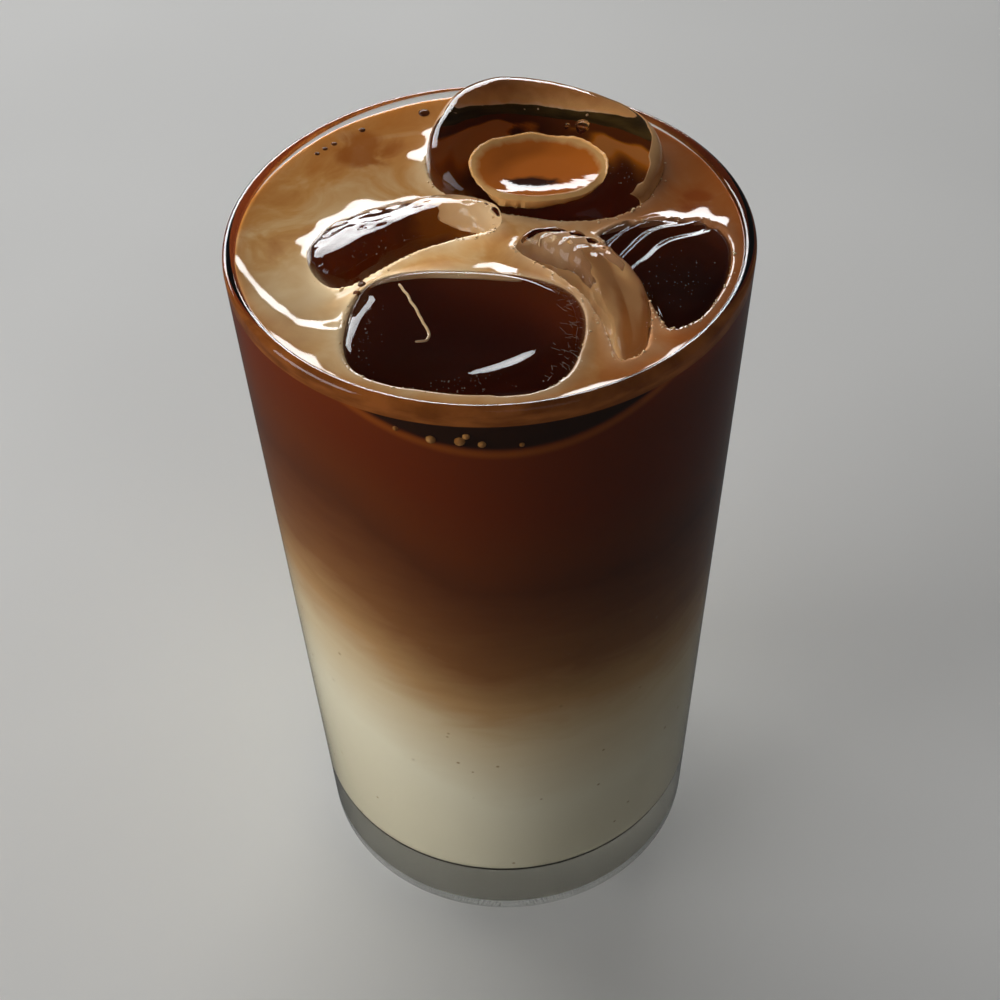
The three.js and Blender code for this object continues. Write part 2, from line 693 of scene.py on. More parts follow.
    def underside(
        self, tree: bpy.types.NodeTree, axes: bpy.types.Node, colour: bpy.types.NodeSocket
    ) -> bpy.types.NodeSocket:
        """Paints shade: greys the milk's underside and draws a dark line where the glass curves under
        it.

        Args:
            tree: Node tree of the material.
            axes: Node that splits the object coordinates.
            colour: Colour so far.

        Returns:
            Colour socket.
        """
        low = add_node(
            tree,
            "ShaderNodeMapRange",
            {
                "Value": axes.outputs["Z"],
                "From Min": self.shade_top * MM,
                "From Max": (self.shade_top - self.shade_blend) * MM,
            },
        )
        height = add_node(
            tree,
            "ShaderNodeMapRange",
            {
                "Value": axes.outputs["Z"],
                "From Min": (self.shade_top - self.shade_depth) * MM,
                "From Max": self.shade_top * MM,
            },
        )
        tone = add_node(
            tree,
            "ShaderNodeValToRGB",
            {"Fac": height.outputs["Result"]},
            ((0.2, self.under), (0.32, self.shade)),
        )
        mixed = add_node(
            tree,
            "ShaderNodeMix",
            {"Factor": low.outputs["Result"], "A": colour, "B": tone.outputs["Color"]},
            data_type="RGBA",
        )
        return mixed.outputs["Result"]

    def paint_front_shade_and_glow(
        self, tree: bpy.types.NodeTree, axes: bpy.types.Node, colour: bpy.types.NodeSocket
    ) -> bpy.types.NodeSocket:
        """Paints shade on the wall in front of the front cube, and a painted highlight along the bow
        under it.

        Args:
            tree: Node tree of the material.
            axes: Node that splits the object coordinates.
            colour: Colour so far.

        Returns:
            Colour socket.
        """
        aside = add_node(
            tree,
            "ShaderNodeMath",
            {0: axes.outputs["X"], 1: self.band_middle * MM},
            operation="SUBTRACT",
        )
        square = add_node(
            tree, "ShaderNodeMath", {0: aside.outputs[0], 1: aside.outputs[0]}, operation="MULTIPLY"
        )
        bow = add_node(
            tree,
            "ShaderNodeMath",
            {0: square.outputs[0], 1: self.band_bow, 2: self.band_bottom * MM},
            operation="MULTIPLY_ADD",
        )
        above = add_node(
            tree, "ShaderNodeMath", {0: axes.outputs["Z"], 1: bow.outputs[0]}, operation="SUBTRACT"
        )
        far = add_node(tree, "ShaderNodeMath", {0: above.outputs[0]}, operation="ABSOLUTE")
        across = add_node(
            tree,
            "ShaderNodeMath",
            {0: axes.outputs["X"], 1: axes.outputs["X"]},
            operation="MULTIPLY",
        )
        reach = add_node(
            tree,
            "ShaderNodeMath",
            {0: axes.outputs["Y"], 1: axes.outputs["Y"], 2: across.outputs[0]},
            operation="MULTIPLY_ADD",
        )
        wall = add_node(
            tree,
            "ShaderNodeMapRange",
            {
                "Value": reach.outputs[0],
                "From Min": (self.wall_from * MM) ** 2,
                "From Max": ((self.wall_from + self.wall_blend) * MM) ** 2,
            },
        )
        front = add_node(
            tree,
            "ShaderNodeMapRange",
            {
                "Value": axes.outputs["Y"],
                "From Min": self.front_from * MM,
                "From Max": self.front_full * MM,
            },
            interpolation_type="SMOOTHSTEP",
        )
        here = add_node(
            tree, "ShaderNodeMath", {0: wall.outputs[0], 1: front.outputs[0]}, operation="MULTIPLY"
        )
        # Painted shade above the bow, and a painted highlight line along it.
        shade = add_node(
            tree,
            "ShaderNodeMapRange",
            {"Value": above.outputs[0], "From Min": 0.0, "From Max": self.band_blend * MM},
            interpolation_type="SMOOTHSTEP",
        )
        line = add_node(
            tree,
            "ShaderNodeMapRange",
            {
                "Value": far.outputs[0],
                "From Min": self.painted_glow_width * MM,
                "From Max": 0.0,
                "To Max": self.painted_glow_strength,
            },
            interpolation_type="SMOOTHSTEP",
        )
        for amount, tone in ((shade, self.band), (line, self.painted_glow)):
            share = add_node(
                tree, "ShaderNodeMath", {0: amount.outputs[0], 1: here.outputs[0]}, operation="MULTIPLY"
            )
            mixed = add_node(
                tree,
                "ShaderNodeMix",
                {"Factor": share.outputs[0], "A": colour, "B": linear(tone)},
                data_type="RGBA",
            )
            colour = mixed.outputs["Result"]
        return colour


@dataclass(frozen=True)
class CremaFoam(Finish):
    """Crema with milk in it: fine wet foam, tan with paler swirls, cream where it climbs the ice.

    By the wall and at the back it turns amber. To the right it turns redder and darker: the foam is
    thinner there, and the rest is painted shade, as the light comes from the left. Thin places at
    the back left let the coffee show through as red brown patches, each with a plan middle and a
    radius. The pale place at the front left that the edge value carries is painted light.
    """

    name: str = "crema_foam"
    dark: str = "#c07c38"
    middle: str = "#d69d58"
    pale: str = "#eac690"
    thin: str = "#93480f"
    cream: str = "#efd2a4"
    amber: str = "#b56c28"
    # Redder, darker tone to the right: thinner foam, and painted shade as the light comes from the
    # left.
    shaded: str = "#8a3d0d"
    swirl_width: float = 13.0
    patch_width: float = 7.0
    grain: float = 0.7
    grain_depth: float = 0.03
    shade_from: float = -4.0
    shade_to: float = 26.0
    shade_strength: float = 0.75
    back_from: float = 2.0
    back_to: float = 30.0
    back_strength: float = 0.5
    patches: tuple[tuple[float, float, float], ...] = ((-19.0, 25.0, 11.0), (32.0, 8.0, 6.0))
    patch_core: float = 0.2
    patch_strength: float = 0.85

    def paint(self, tree: bpy.types.NodeTree, shader: bpy.types.Node) -> None:
        """Paints swirls, thin patches and pale rims on a wet foam.

        Args:
            tree: Node tree of the material.
            shader: Its Principled shader.
        """
        place = add_node(tree, "ShaderNodeTexCoord").outputs["Object"]
        axes = add_node(tree, "ShaderNodeSeparateXYZ", {0: place})
        swirl = add_node(
            tree,
            "ShaderNodeTexNoise",
            {
                "Vector": place,
                "Scale": 1 / (self.swirl_width * MM),
                "Detail": 5.0,
                "Roughness": 0.55,
                "Distortion": 1.4,
            },
        )
        ramp = add_node(
            tree,
            "ShaderNodeValToRGB",
            {"Fac": swirl.outputs["Fac"]},
            ((0.32, self.dark), (0.5, self.middle), (0.7, self.pale)),
        )
        colour = self.thin_patches(tree, place, ramp.outputs["Color"])
        # Darker to the right: thinner foam, and painted shade as the light comes from the left.
        right = add_node(
            tree,
            "ShaderNodeMapRange",
            {
                "Value": axes.outputs["X"],
                "From Min": self.shade_from * MM,
                "From Max": self.shade_to * MM,
                "To Max": self.shade_strength,
            },
        )
        back = add_node(
            tree,
            "ShaderNodeMapRange",
            {
                "Value": axes.outputs["Y"],
                "From Min": self.back_from * MM,
                "From Max": self.back_to * MM,
                "To Max": self.back_strength,
            },
        )
        # edge also carries a pale place at the front left, which is painted light.
        edge = add_node(tree, "ShaderNodeAttribute", attribute_name=Trace.EDGE.value)
        amber = add_node(tree, "ShaderNodeAttribute", attribute_name=Trace.AMBER.value)
        for share, tone in (
            (back.outputs["Result"], self.amber),
            (edge.outputs["Fac"], self.cream),
            (amber.outputs["Fac"], self.amber),
            (right.outputs["Result"], self.shaded),
        ):
            mixed = add_node(
                tree,
                "ShaderNodeMix",
                {"Factor": share, "A": colour, "B": linear(tone)},
                data_type="RGBA",
            )
            colour = mixed.outputs["Result"]
        tree.links.new(colour, shader.inputs["Base Color"])
        shader.inputs["Roughness"].default_value = 0.06
        shader.inputs["IOR"].default_value = 1.5
        froth = add_node(
            tree, "ShaderNodeTexNoise", {"Vector": place, "Scale": 1 / (self.grain * MM), "Detail": 2.0}
        )
        bump = add_node(
            tree,
            "ShaderNodeBump",
            {"Height": froth.outputs["Fac"], "Strength": 0.07, "Distance": self.grain_depth * MM},
        )
        tree.links.new(bump.outputs["Normal"], shader.inputs["Normal"])

    def thin_patches(
        self, tree: bpy.types.NodeTree, place: bpy.types.NodeSocket, colour: bpy.types.NodeSocket
    ) -> bpy.types.NodeSocket:
        """Lets the coffee show through in torn patches.

        Args:
            tree: Node tree of the material.
            place: Object coordinates.
            colour: Colour so far.

        Returns:
            Colour socket.
        """
        torn = add_node(
            tree,
            "ShaderNodeTexNoise",
            {"Vector": place, "Scale": 1 / (self.patch_width * MM), "Detail": 4.0, "Distortion": 1.0},
        )
        for x, y, reach in self.patches:
            away = add_node(
                tree,
                "ShaderNodeVectorMath",
                {0: place, 1: (x * MM, y * MM, LEVEL * MM)},
                operation="DISTANCE",
            )
            near = add_node(
                tree,
                "ShaderNodeMapRange",
                {
                    "Value": away.outputs["Value"],
                    "From Min": reach * MM,
                    "From Max": self.patch_core * reach * MM,
                },
                interpolation_type="SMOOTHSTEP",
            )
            both = add_node(
                tree,
                "ShaderNodeMath",
                {0: torn.outputs["Fac"], 1: near.outputs[0]},
                operation="MULTIPLY",
            )
            share = add_node(
                tree,
                "ShaderNodeMapRange",
                {
                    "Value": both.outputs[0],
                    "From Min": 0.3,
                    "From Max": 0.55,
                    "To Max": self.patch_strength,
                },
                interpolation_type="SMOOTHSTEP",
            )
            mixed = add_node(
                tree,
                "ShaderNodeMix",
                {"Factor": share.outputs[0], "A": colour, "B": linear(self.thin)},
                data_type="RGBA",
            )
            colour = mixed.outputs["Result"]
        return colour


@dataclass(frozen=True)
class CremaAtWall(Finish):
    """Crema against the glass: matt, as the gloss is the glass's own, brown with darker streaks."""

    name: str = "crema_at_wall"
    tone: str = "#8c5022"
    streak: str = "#6a3812"
    streak_width: float = 6.0

    def paint(self, tree: bpy.types.NodeTree, shader: bpy.types.Node) -> None:
        """Paints streaks along the wall.

        Args:
            tree: Node tree of the material.
            shader: Its Principled shader.
        """
        place = add_node(tree, "ShaderNodeTexCoord").outputs["Object"]
        level = add_node(
            tree, "ShaderNodeMapping", {"Vector": place, "Scale": (1.0, 1.0, 4.0)}, vector_type="POINT"
        )
        vary = add_node(
            tree,
            "ShaderNodeTexNoise",
            {"Vector": level.outputs["Vector"], "Scale": 1 / (self.streak_width * MM), "Detail": 4.0},
        )
        ramp = add_node(
            tree,
            "ShaderNodeValToRGB",
            {"Fac": vary.outputs["Fac"]},
            ((0.35, self.streak), (0.65, self.tone)),
        )
        tree.links.new(ramp.outputs["Color"], shader.inputs["Base Color"])
        shader.inputs["Roughness"].default_value = 0.6
        shader.inputs["Specular IOR Level"].default_value = 0.0


@dataclass(frozen=True)
class CremaPuddle(Finish):
    """Crema left on top of an ice cube: a cream rim round orange brown foam with a dark wet eye."""

    name: str = "crema_puddle"
    eye: str = "#3c180a"
    inside: str = "#c2681f"
    rim: str = "#dca768"
    blotch_width: float = 2.2

    def paint(self, tree: bpy.types.NodeTree, shader: bpy.types.Node) -> None:
        """Paints rings by the value that the mesh carries.

        Args:
            tree: Node tree of the material.
            shader: Its Principled shader.
        """
        place = add_node(tree, "ShaderNodeTexCoord").outputs["Object"]
        ring = add_node(tree, "ShaderNodeAttribute", attribute_name=Trace.RING.value)
        blotch = add_node(
            tree,
            "ShaderNodeTexNoise",
            {"Vector": place, "Scale": 1 / (self.blotch_width * MM), "Detail": 4.0, "Distortion": 0.8},
        )
        ragged = add_node(
            tree,
            "ShaderNodeMath",
            {0: blotch.outputs["Fac"], 1: 0.3, 2: ring.outputs["Fac"]},
            operation="MULTIPLY_ADD",
        )
        ramp = add_node(
            tree,
            "ShaderNodeValToRGB",
            {"Fac": ragged.outputs[0]},
            ((0.32, self.eye), (0.5, self.inside), (0.78, self.inside), (1.0, self.rim)),
        )
        tree.links.new(ramp.outputs["Color"], shader.inputs["Base Color"])
        shader.inputs["Roughness"].default_value = 0.06
        shader.inputs["IOR"].default_value = 1.5


@dataclass(frozen=True)
class CremaSkin(Finish):
    """Foam that clings to the side of an ice cube: cream by the drink, tan and streaked above."""

    name: str = "crema_skin"
    low: str = "#ffe6c0"
    middle: str = "#f0b672"
    dark: str = "#c4854a"
    rim: str = "#e4b078"
    blotch_width: float = 2.5

    def paint(self, tree: bpy.types.NodeTree, shader: bpy.types.Node) -> None:
        """Paints bands by the value that the mesh carries.

        Args:
            tree: Node tree of the material.
            shader: Its Principled shader.
        """
        place = add_node(tree, "ShaderNodeTexCoord").outputs["Object"]
        ring = add_node(tree, "ShaderNodeAttribute", attribute_name=Trace.RING.value)
        blotch = add_node(
            tree,
            "ShaderNodeTexNoise",
            {"Vector": place, "Scale": 1 / (self.blotch_width * MM), "Detail": 3.0},
        )
        ragged = add_node(
            tree,
            "ShaderNodeMath",
            {0: blotch.outputs["Fac"], 1: 0.3, 2: ring.outputs["Fac"]},
            operation="MULTIPLY_ADD",
        )
        ramp = add_node(
            tree,
            "ShaderNodeValToRGB",
            {"Fac": ragged.outputs[0]},
            ((0.1, self.low), (0.3, self.middle), (0.6, self.dark), (0.9, self.rim)),
        )
        tree.links.new(ramp.outputs["Color"], shader.inputs["Base Color"])
        shader.inputs["Roughness"].default_value = 0.25


@dataclass(frozen=True)
class Mottled(Finish):
    """A surface that drifts between two tones. change: width of the drift. turn: where each is full."""

    name: str = "mottled"
    tone: str = "#ffffff"
    shade: str = "#808080"
    change: float = 2.0
    turn: tuple[float, float] = (0.35, 0.6)
    roughness: float = 0.5
    ior: float = 1.5

    def paint(self, tree: bpy.types.NodeTree, shader: bpy.types.Node) -> None:
        """Varies the tone from place to place.

        Args:
            tree: Node tree of the material.
            shader: Its Principled shader.
        """
        place = add_node(tree, "ShaderNodeTexCoord").outputs["Object"]
        vary = add_node(tree, "ShaderNodeTexNoise", {"Vector": place, "Scale": 1 / (self.change * MM)})
        ramp = add_node(
            tree,
            "ShaderNodeValToRGB",
            {"Fac": vary.outputs["Fac"]},
            ((self.turn[0], self.shade), (self.turn[1], self.tone)),
        )
        tree.links.new(ramp.outputs["Color"], shader.inputs["Base Color"])
        shader.inputs["Roughness"].default_value = self.roughness
        shader.inputs["IOR"].default_value = self.ior


@dataclass(frozen=True)
class FoamBubble(Mottled):
    """Small milk bubbles: pale wet skins with a bright spot on each."""

    name: str = "milk_bubble_skin"
    tone: str = "#e9cfa6"
    shade: str = "#c79a62"
    change: float = 2.0
    roughness: float = 0.08
    ior: float = 1.34


@dataclass(frozen=True)
class TrappedAir(Mottled):
    """Fine air shut in the ice: grey with the brown of the drink, duller from thread to thread."""

    name: str = "trapped_air"
    tone: str = "#94816e"
    shade: str = "#4a3524"
    change: float = 3.0
    roughness: float = 0.3


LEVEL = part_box("crema")[1].z / MM
CREMA_BOTTOM = (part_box("crema")[0].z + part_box("coffee")[1].z) / 2 / MM
BLEND_LEVEL = (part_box("coffee")[0].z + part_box("milky_coffee")[1].z) / 2 / MM
MILK_LEVEL = (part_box("milky_coffee")[0].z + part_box("milk")[1].z) / 2 / MM


@dataclass
class Tumbler:
    """The plain glass: it widens from foot to rim and has a thick base with a hollow underside.

    foot_round and ring_round: rounding of the outer and inner edge of the ring that it stands on.
    hollow: height of the hollow inside the ring, hollow_flat the share of it that is flat, and
    hollow_round the rounding from there on. fillet: rounding inside, between base and wall.
    """

    height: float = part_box("glass")[1].z / MM
    rim_radius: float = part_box("glass")[1].x / MM
    foot_radius: float = 34.6
    rim_wall: float = 2.0
    foot_wall: float = 3.0
    base: float = 11.5
    fillet: float = 3.5
    foot_round: float = 1.8
    ring_width: float = 4.4
    ring_round: float = 0.6
    hollow: float = 1.4
    hollow_flat: float = 0.75
    hollow_round: float = 6.0
    sharp: float = 80.0
    steps: int = 192
    finish: Finish = field(default_factory=ClearGlass)

    def outer_radius(self, z: float) -> float:
        """Gives the outside radius at a height."""
        return self.foot_radius + (self.rim_radius - self.foot_radius) * z / self.height

    def inner_radius(self, z: float) -> float:
        """Gives the inside radius at a height."""
        bottom = self.base + self.fillet
        low = self.outer_radius(bottom) - self.foot_wall
        high = self.rim_radius - self.rim_wall
        return low + (high - low) * (z - bottom) / (self.height - self.rim_wall / 2 - bottom)

    def build(self) -> bpy.types.Object:
        """Turns the glass from its profile.

        Returns:
            The glass.
        """
        ring = self.foot_radius - self.foot_round - self.ring_width
        lip = self.rim_wall / 2
        profile = (
            Corner(0, self.hollow),
            Corner(ring * self.hollow_flat, self.hollow, self.hollow_round),
            Corner(ring, 0, self.ring_round),
            Corner(self.foot_radius, 0, self.foot_round),
            Corner(self.rim_radius, self.height, lip),
            Corner(self.rim_radius - self.rim_wall, self.height, lip),
            Corner(self.inner_radius(self.base), self.base, self.fillet),
            Corner(0, self.base),
        )
        glass = piece_from("tumbler", turned(profile, self.steps), self.sharp)
        glass.visible_shadow = False
        self.finish.dress(glass)
        settle(glass, Slot.GLASS, "glass")
        return glass


@dataclass
class IceCube:
    """One worn cube: a finer copy of its CAD node with melt ripples, pits, ridges and trapped air.

    grow: how much larger it is all round than the smoothed copy. swell and swell_width: height and
    width of slow waves, of which fine_swell and fine_width are shares for finer ones. pits: depth of
    small pits in the top, pit_reach their radius as a share of pit_width. ridges: height of the ridges
    along one side, which begin at ridge_start from the middle, are full after ridge_fade, and wander
    by ridge_bend. crest: height of the edge between its faces, along crest_line in plan. basin: plan
    middle and half sizes of a hollow, how much deeper it is than in CAD, and the height of the lip
    round it. veil: how much crema hangs down its sides in the drink, veil_start how deep it begins,
    veil_depth how far down it reaches from there, and veil_side a plan direction that the bare side
    faces. air: plan place, height and radius of bubbles.
    """

    node: str
    grow: float = 0.12
    swell: float = 0.16
    swell_width: float = 6.0
    fine_swell: float = 0.4
    fine_width: float = 0.42
    fine_shift: tuple[float, float, float] = (7.0, 3.0, 5.0)
    pits: float = 0.0
    pit_width: float = 2.6
    pit_reach: float = 0.45
    ridges: float = 0.0
    ridge_width: float = 3.0
    ridge_side: tuple[float, float] = (0.0, 1.0)
    ridge_start: float = 2.0
    ridge_fade: float = 4.0
    ridge_bend: float = 2.5
    ridge_bend_width: float = 9.0
    crest: float = 0.0
    crest_width: float = 4.0
    crest_line: tuple[tuple[float, float], ...] = ()
    basin: tuple[float, float, float, float, float, float] = (0.0, 0.0, 1.0, 1.0, 0.0, 0.0)
    lip_width: float = 0.12
    veil: float = 0.2
    veil_start: float = 0.0
    veil_depth: float = 5.0
    veil_side: tuple[float, float] = (0.0, 0.0)
    air: tuple[tuple[float, float, float, float], ...] = ()
    air_margin: float = 1.05
    levels: int = 3
    finish: Finish = field(default_factory=MeltingIce)
    piece: bpy.types.Object | None = None
    tree: BVHTree | None = None
    shore: list[Vector] = field(default_factory=list)

    def build(self) -> None:
        """Makes the cube and what others need to fit round it."""
        low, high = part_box(self.node)
        bm = self.smooth_copy()
        middle = (low + high) / 2
        for vert in bm.verts:
            vert.co += vert.normal * (self.grow + self.relief(vert.co, vert.normal, middle)) * MM
        bm.normal_update()
        self.tree = BVHTree.FromBMesh(bm)
        self.shore = self.waterline(bm)
        for x, y, z, radius in self.air:
            made = bmesh.ops.create_icosphere(
                bm, subdivisions=3, radius=radius * MM, matrix=Matrix.Translation(mm(x, y, z))
            )
            shell = {f for v in made["verts"] for f in v.link_faces}
            bmesh.ops.reverse_faces(bm, faces=list(shell))
        self.piece = piece_from(self.node + "_worn", bm, ALL_ROUND)
        self.piece.visible_shadow = False
        self.finish.dress(self.piece)
        settle(self.piece, Slot.ICE, self.node)

    def smooth_copy(self) -> bmesh.types.BMesh:
        """Copies the CAD node and subdivides it smoothly.

        Returns:
            The finer shape.
        """
        bm = bmesh.new()
        bm.from_mesh(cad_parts[self.node].data)
        bmesh.ops.remove_doubles(bm, verts=bm.verts, dist=HAIR * MM)
        bmesh.ops.join_triangles(
            bm, faces=bm.faces, angle_face_threshold=1.0, angle_shape_threshold=2.0
        )
        rough = piece_from(self.node + "_rough", bm)
        fine = rough.modifiers.new("fine", "SUBSURF")
        fine.levels = fine.render_levels = self.levels
        apply_modifiers(rough)
        bm = bmesh.new()
        bm.from_mesh(rough.data)
        bpy.data.objects.remove(rough)
        return bm

    def relief(self, place: Vector, normal: Vector, middle: Vector) -> float:
        """Works out how far the surface stands out at a place.

        Args:
            place: Point on the smooth cube, in metres.
            normal: Its normal.
            middle: Middle of the cube.

        Returns:
            Height in millimetres.
        """
        spot = place / MM
        height = self.swell * noise.noise(spot / self.swell_width)
        fine = spot / (self.swell_width * self.fine_width) + Vector(self.fine_shift)
        height += self.fine_swell * self.swell * noise.noise(fine)
        if self.pits:
            near = noise.voronoi(spot / self.pit_width)[0][0]
            top = max(0.0, normal.z) ** 2
            height -= self.pits * top * max(0.0, 1 - near / self.pit_reach) ** 2
        if self.ridges:
            side = Vector((*self.ridge_side, 0.0)).normalized()
            out = (place - middle).dot(side) / MM
            bend = self.ridge_bend * noise.noise(spot / self.ridge_bend_width)
            share = clip((out - self.ridge_start) / self.ridge_fade) * max(0.0, normal.z)
            height += self.ridges * share * math.sin(math.tau * (out + bend) / self.ridge_width)
        if self.crest:
            away = line_gap(spot, self.crest_line)
            height += self.crest * max(0.0, normal.z) * max(0.0, 1 - away / self.crest_width)
        x, y, across, along, depth, lip = self.basin
        out = math.hypot((spot.x - x) / across, (spot.y - y) / along)
        hollow = depth * max(0.0, 1 - out * out) ** 2
        height += max(0.0, normal.z) * (lip * math.exp(-(((out - 1) / self.lip_width) ** 2)) - hollow)
        return height

    def waterline(self, bm: bmesh.types.BMesh) -> list[Vector]:
        """Finds where the drink's level meets the cube.

        Args:
            bm: The cube's shape.

        Returns:
            Points along the line, in metres.
        """
        cut = bm.copy()
        made = bmesh.ops.bisect_plane(
            cut,
            geom=cut.verts[:] + cut.edges[:] + cut.faces[:],
            dist=1e-7,
            plane_co=mm(0, 0, LEVEL),
            plane_no=(0, 0, 1),
        )
        edges = [e for e in made["geom_cut"] if isinstance(e, bmesh.types.BMEdge)]
        points = [e.verts[0].co.lerp(e.verts[1].co, t / 3) for e in edges for t in range(3)]
        cut.free()
        return points

    def bare_copy(self) -> bmesh.types.BMesh:
        """Copies the finished cube without the bubbles inside it.

        Returns:
            Its skin, in metres.
        """
        bm = bmesh.new()
        bm.from_mesh(self.piece.data)
        bubbles = [v for v in bm.verts if self.in_air(v.co)]
        bmesh.ops.delete(bm, geom=bubbles, context="VERTS")
        bm.normal_update()
        return bm

    def in_air(self, place: Vector) -> bool:
        """Tells whether a point of the mesh belongs to a bubble inside the cube."""
        return any((place - mm(x, y, z)).length < r * self.air_margin * MM for x, y, z, r in self.air)

    def holds(self, place: Vector) -> bool:
        """Tells whether a point lies inside the cube."""
        hit = self.tree.ray_cast(place, Vector((0, 0, 1)))
        return hit[0] is not None and hit[1].z > 0

    def top_at(self, x: float, y: float) -> tuple[Vector, Vector] | None:
        """Finds the top of the cube at a place in plan.

        Args:
            x: Millimetres to the right.
            y: Millimetres to the back.

        Returns:
            Point and normal, or None beside the cube.
        """
        hit = self.tree.ray_cast(mm(x, y, ABOVE_ALL), Vector((0, 0, -1)))
        return None if hit[0] is None else (hit[0], hit[1])


@dataclass
class IceSet:
    """All the cubes in the drink."""

    cubes: tuple[IceCube, ...] = (
        IceCube(
            "ice_back",
            swell=0.2,
            basin=(7.6, 12.2, 12.6, 9.2, 1.9, 0.4),
            veil=0.55,
            veil_start=3.6,
            veil_depth=7.0,
            air=((15.6, 24.5, 133.5, 1.2), (13.2, 26.0, 132.4, 0.5)),
        ),
        IceCube(
            "ice_left",
            swell=0.22,
            swell_width=4.5,
            pits=0.45,
            crest=0.3,
            crest_width=6.0,
            crest_line=((-23.0, -11.0), (-16.0, -3.0), (-8.7, 2.7), (-5.7, 3.7)),
            veil=0.25,
            veil_depth=3.0,
        ),
        IceCube(
            "ice_front",
            swell=0.1,
            swell_width=8.0,
            basin=(-7.6, -21.8, 18.0, 12.0, -0.9, 0.45),
            veil=0.08,
            veil_depth=3.0,
        ),
        IceCube(
            "ice_mid",
            swell=0.2,
            swell_width=4.0,
            pits=0.2,
            ridges=0.3,
            ridge_side=(-0.47, 0.88),
            crest=0.6,
            crest_width=2.2,
            crest_line=((5.5, -4.5), (11.5, -7.5), (15.0, -14.0), (16.6, -22.0), (17.2, -27.0)),
            veil=1.0,
            veil_depth=16.0,
            veil_side=(0.88, 0.47),
        ),
        IceCube(
            "ice_right",
            swell=0.16,
            ridges=0.35,
            ridge_side=(-0.55, 0.83),
            veil=0.1,
            veil_depth=4.0,
        ),
    )
    fit: float = 0.1

    def build(self) -> None:
        """Makes every cube."""
        for cube in self.cubes:
            cube.build()

    def cube(self, node: str) -> IceCube:
        """Gives a cube by its CAD node."""
        return next(c for c in self.cubes if c.node == node)

    def cutter(self, *only: IceCube) -> bpy.types.Object:
        """Makes a tool that cuts room for the cubes, a hair smaller than they are.

        Args:
            *only: Cubes to cut for. All of them if none is given.

        Returns:
            Object to cut with. The caller removes it.
        """
        bm = bmesh.new()
        for cube in only or self.cubes:
            part = cube.bare_copy()
            for vert in part.verts:
                vert.co -= vert.normal * self.fit * MM
            bound = bpy.data.meshes.new("cutter_part")
            part.to_mesh(bound)
            part.free()
            bm.from_mesh(bound)
            bpy.data.meshes.remove(bound)
        return piece_from("ice_cutter", bm)

    def cut_from(self, piece: bpy.types.Object, sharp: float, *only: IceCube) -> None:
        """Cuts room for the cubes out of a piece and shades it again.

        Args:
            piece: Object that is cut.
            sharp: Angle in degrees from which an edge stays sharp.
            *only: Cubes to cut for. All of them if none is given.
        """
        cutter = self.cutter(*only)
        carve(piece, cutter)
        bpy.data.objects.remove(cutter)
        piece.data.shade_smooth()
        piece.data.set_sharp_from_angle(angle=math.radians(sharp))

    def nearest(self, place: Vector) -> tuple[IceCube, float]:
        """Finds the cube that is closest to a point.

        Args:
            place: Point in metres.

        Returns:
            The cube and its distance in metres.
        """
        found = [(cube.tree.find_nearest(place)[3], i) for i, cube in enumerate(self.cubes)]
        gap, index = min(found)
        return self.cubes[index], gap


@dataclass
class Drink:
    """Milk, milky coffee and coffee: three layers that reach just into the wall of the glass.

    cling: how near the ice the veil of crema lies. ragged and ragged_width: how its depth wanders.
    veil_fade: depth over which it comes in, veil_faint: its share above that. veil_turn: how fast
    it ends on the bare side of a cube. veil_full: its strength at the start, over 1 so that it
    stays full for a while before it thins out.
    """

    glass: Tumbler
    ice: IceSet
    reach: float = 0.25
    sharp: float = 50.0
    cling: float = 0.6
    ragged: float = 1.5
    ragged_width: float = 4.0
    veil_fade: float = 1.5
    veil_faint: float = 0.35
    veil_turn: float = 1.6
    veil_full: float = 1.3
    finish: Finish = field(default_factory=LayeredDrink)

    def build(self) -> None:
        """Makes the three layers and cuts the coffee round the ice."""
        milk = piece_from("milk_layer", turned(self.milk_profile(), self.glass.steps))
        blend = self.layer("blend_layer", MILK_LEVEL, BLEND_LEVEL)
        coffee = self.layer("coffee_layer", BLEND_LEVEL, CREMA_BOTTOM)
        self.ice.cut_from(coffee, self.sharp)
        mark(coffee, Trace.VEIL, [self.veil_at(v.co, v.normal) for v in coffee.data.vertices])
        for piece, slot, node in (
            (milk, Slot.MILK, "milk"),
            (blend, Slot.BLEND, "milky_coffee"),
            (coffee, Slot.COFFEE, "coffee"),
        ):
            self.finish.dress(piece)
            settle(piece, slot, node)

    def wall(self, z: float) -> float:
        """Gives the drink's radius at a height."""
        return self.glass.inner_radius(z) + self.reach

    def milk_profile(self) -> tuple[Corner, ...]:
        """Gives the profile of the milk, with the rounded bottom of the glass."""
        low = self.glass.base - self.reach
        return (
            Corner(0, low),
            Corner(self.wall(low), low, self.glass.fillet),
            Corner(self.wall(MILK_LEVEL), MILK_LEVEL),
            Corner(0, MILK_LEVEL),
        )

    def layer(self, name: str, bottom: float, top: float) -> bpy.types.Object:
        """Makes one level layer.

        Args:
            name: Name of the piece.
            bottom: Height of its underside.
            top: Height of its top.

        Returns:
            The layer.
        """
        profile = (
            Corner(0, bottom),
            Corner(self.wall(bottom), bottom),
            Corner(self.wall(top), top),
            Corner(0, top),
        )
        return piece_from(name, turned(profile, self.glass.steps))

    def veil_at(self, place: Vector, out: Vector) -> float:
        """Works out how much crema hangs in the coffee at a place beside the ice.

        Args:
            place: Point in metres.
            out: Direction that the surface faces there.

        Returns:
            Share of crema from 0 to 1.
        """
        cube, gap = self.ice.nearest(place)
        if gap > self.cling * MM:
            return 0.0
        wander = self.ragged * noise.noise(place / (self.ragged_width * MM))
        depth = CREMA_BOTTOM - place.z / MM + wander - cube.veil_start
        above = 1.0 if cube.veil_start == 0 else clip(1 + depth / self.veil_fade, self.veil_faint)
        turned_to = out.x * cube.veil_side[0] + out.y * cube.veil_side[1]
        above *= clip(1 - self.veil_turn * max(0.0, turned_to))
        return cube.veil * above * clip(self.veil_full - depth / cube.veil_depth)


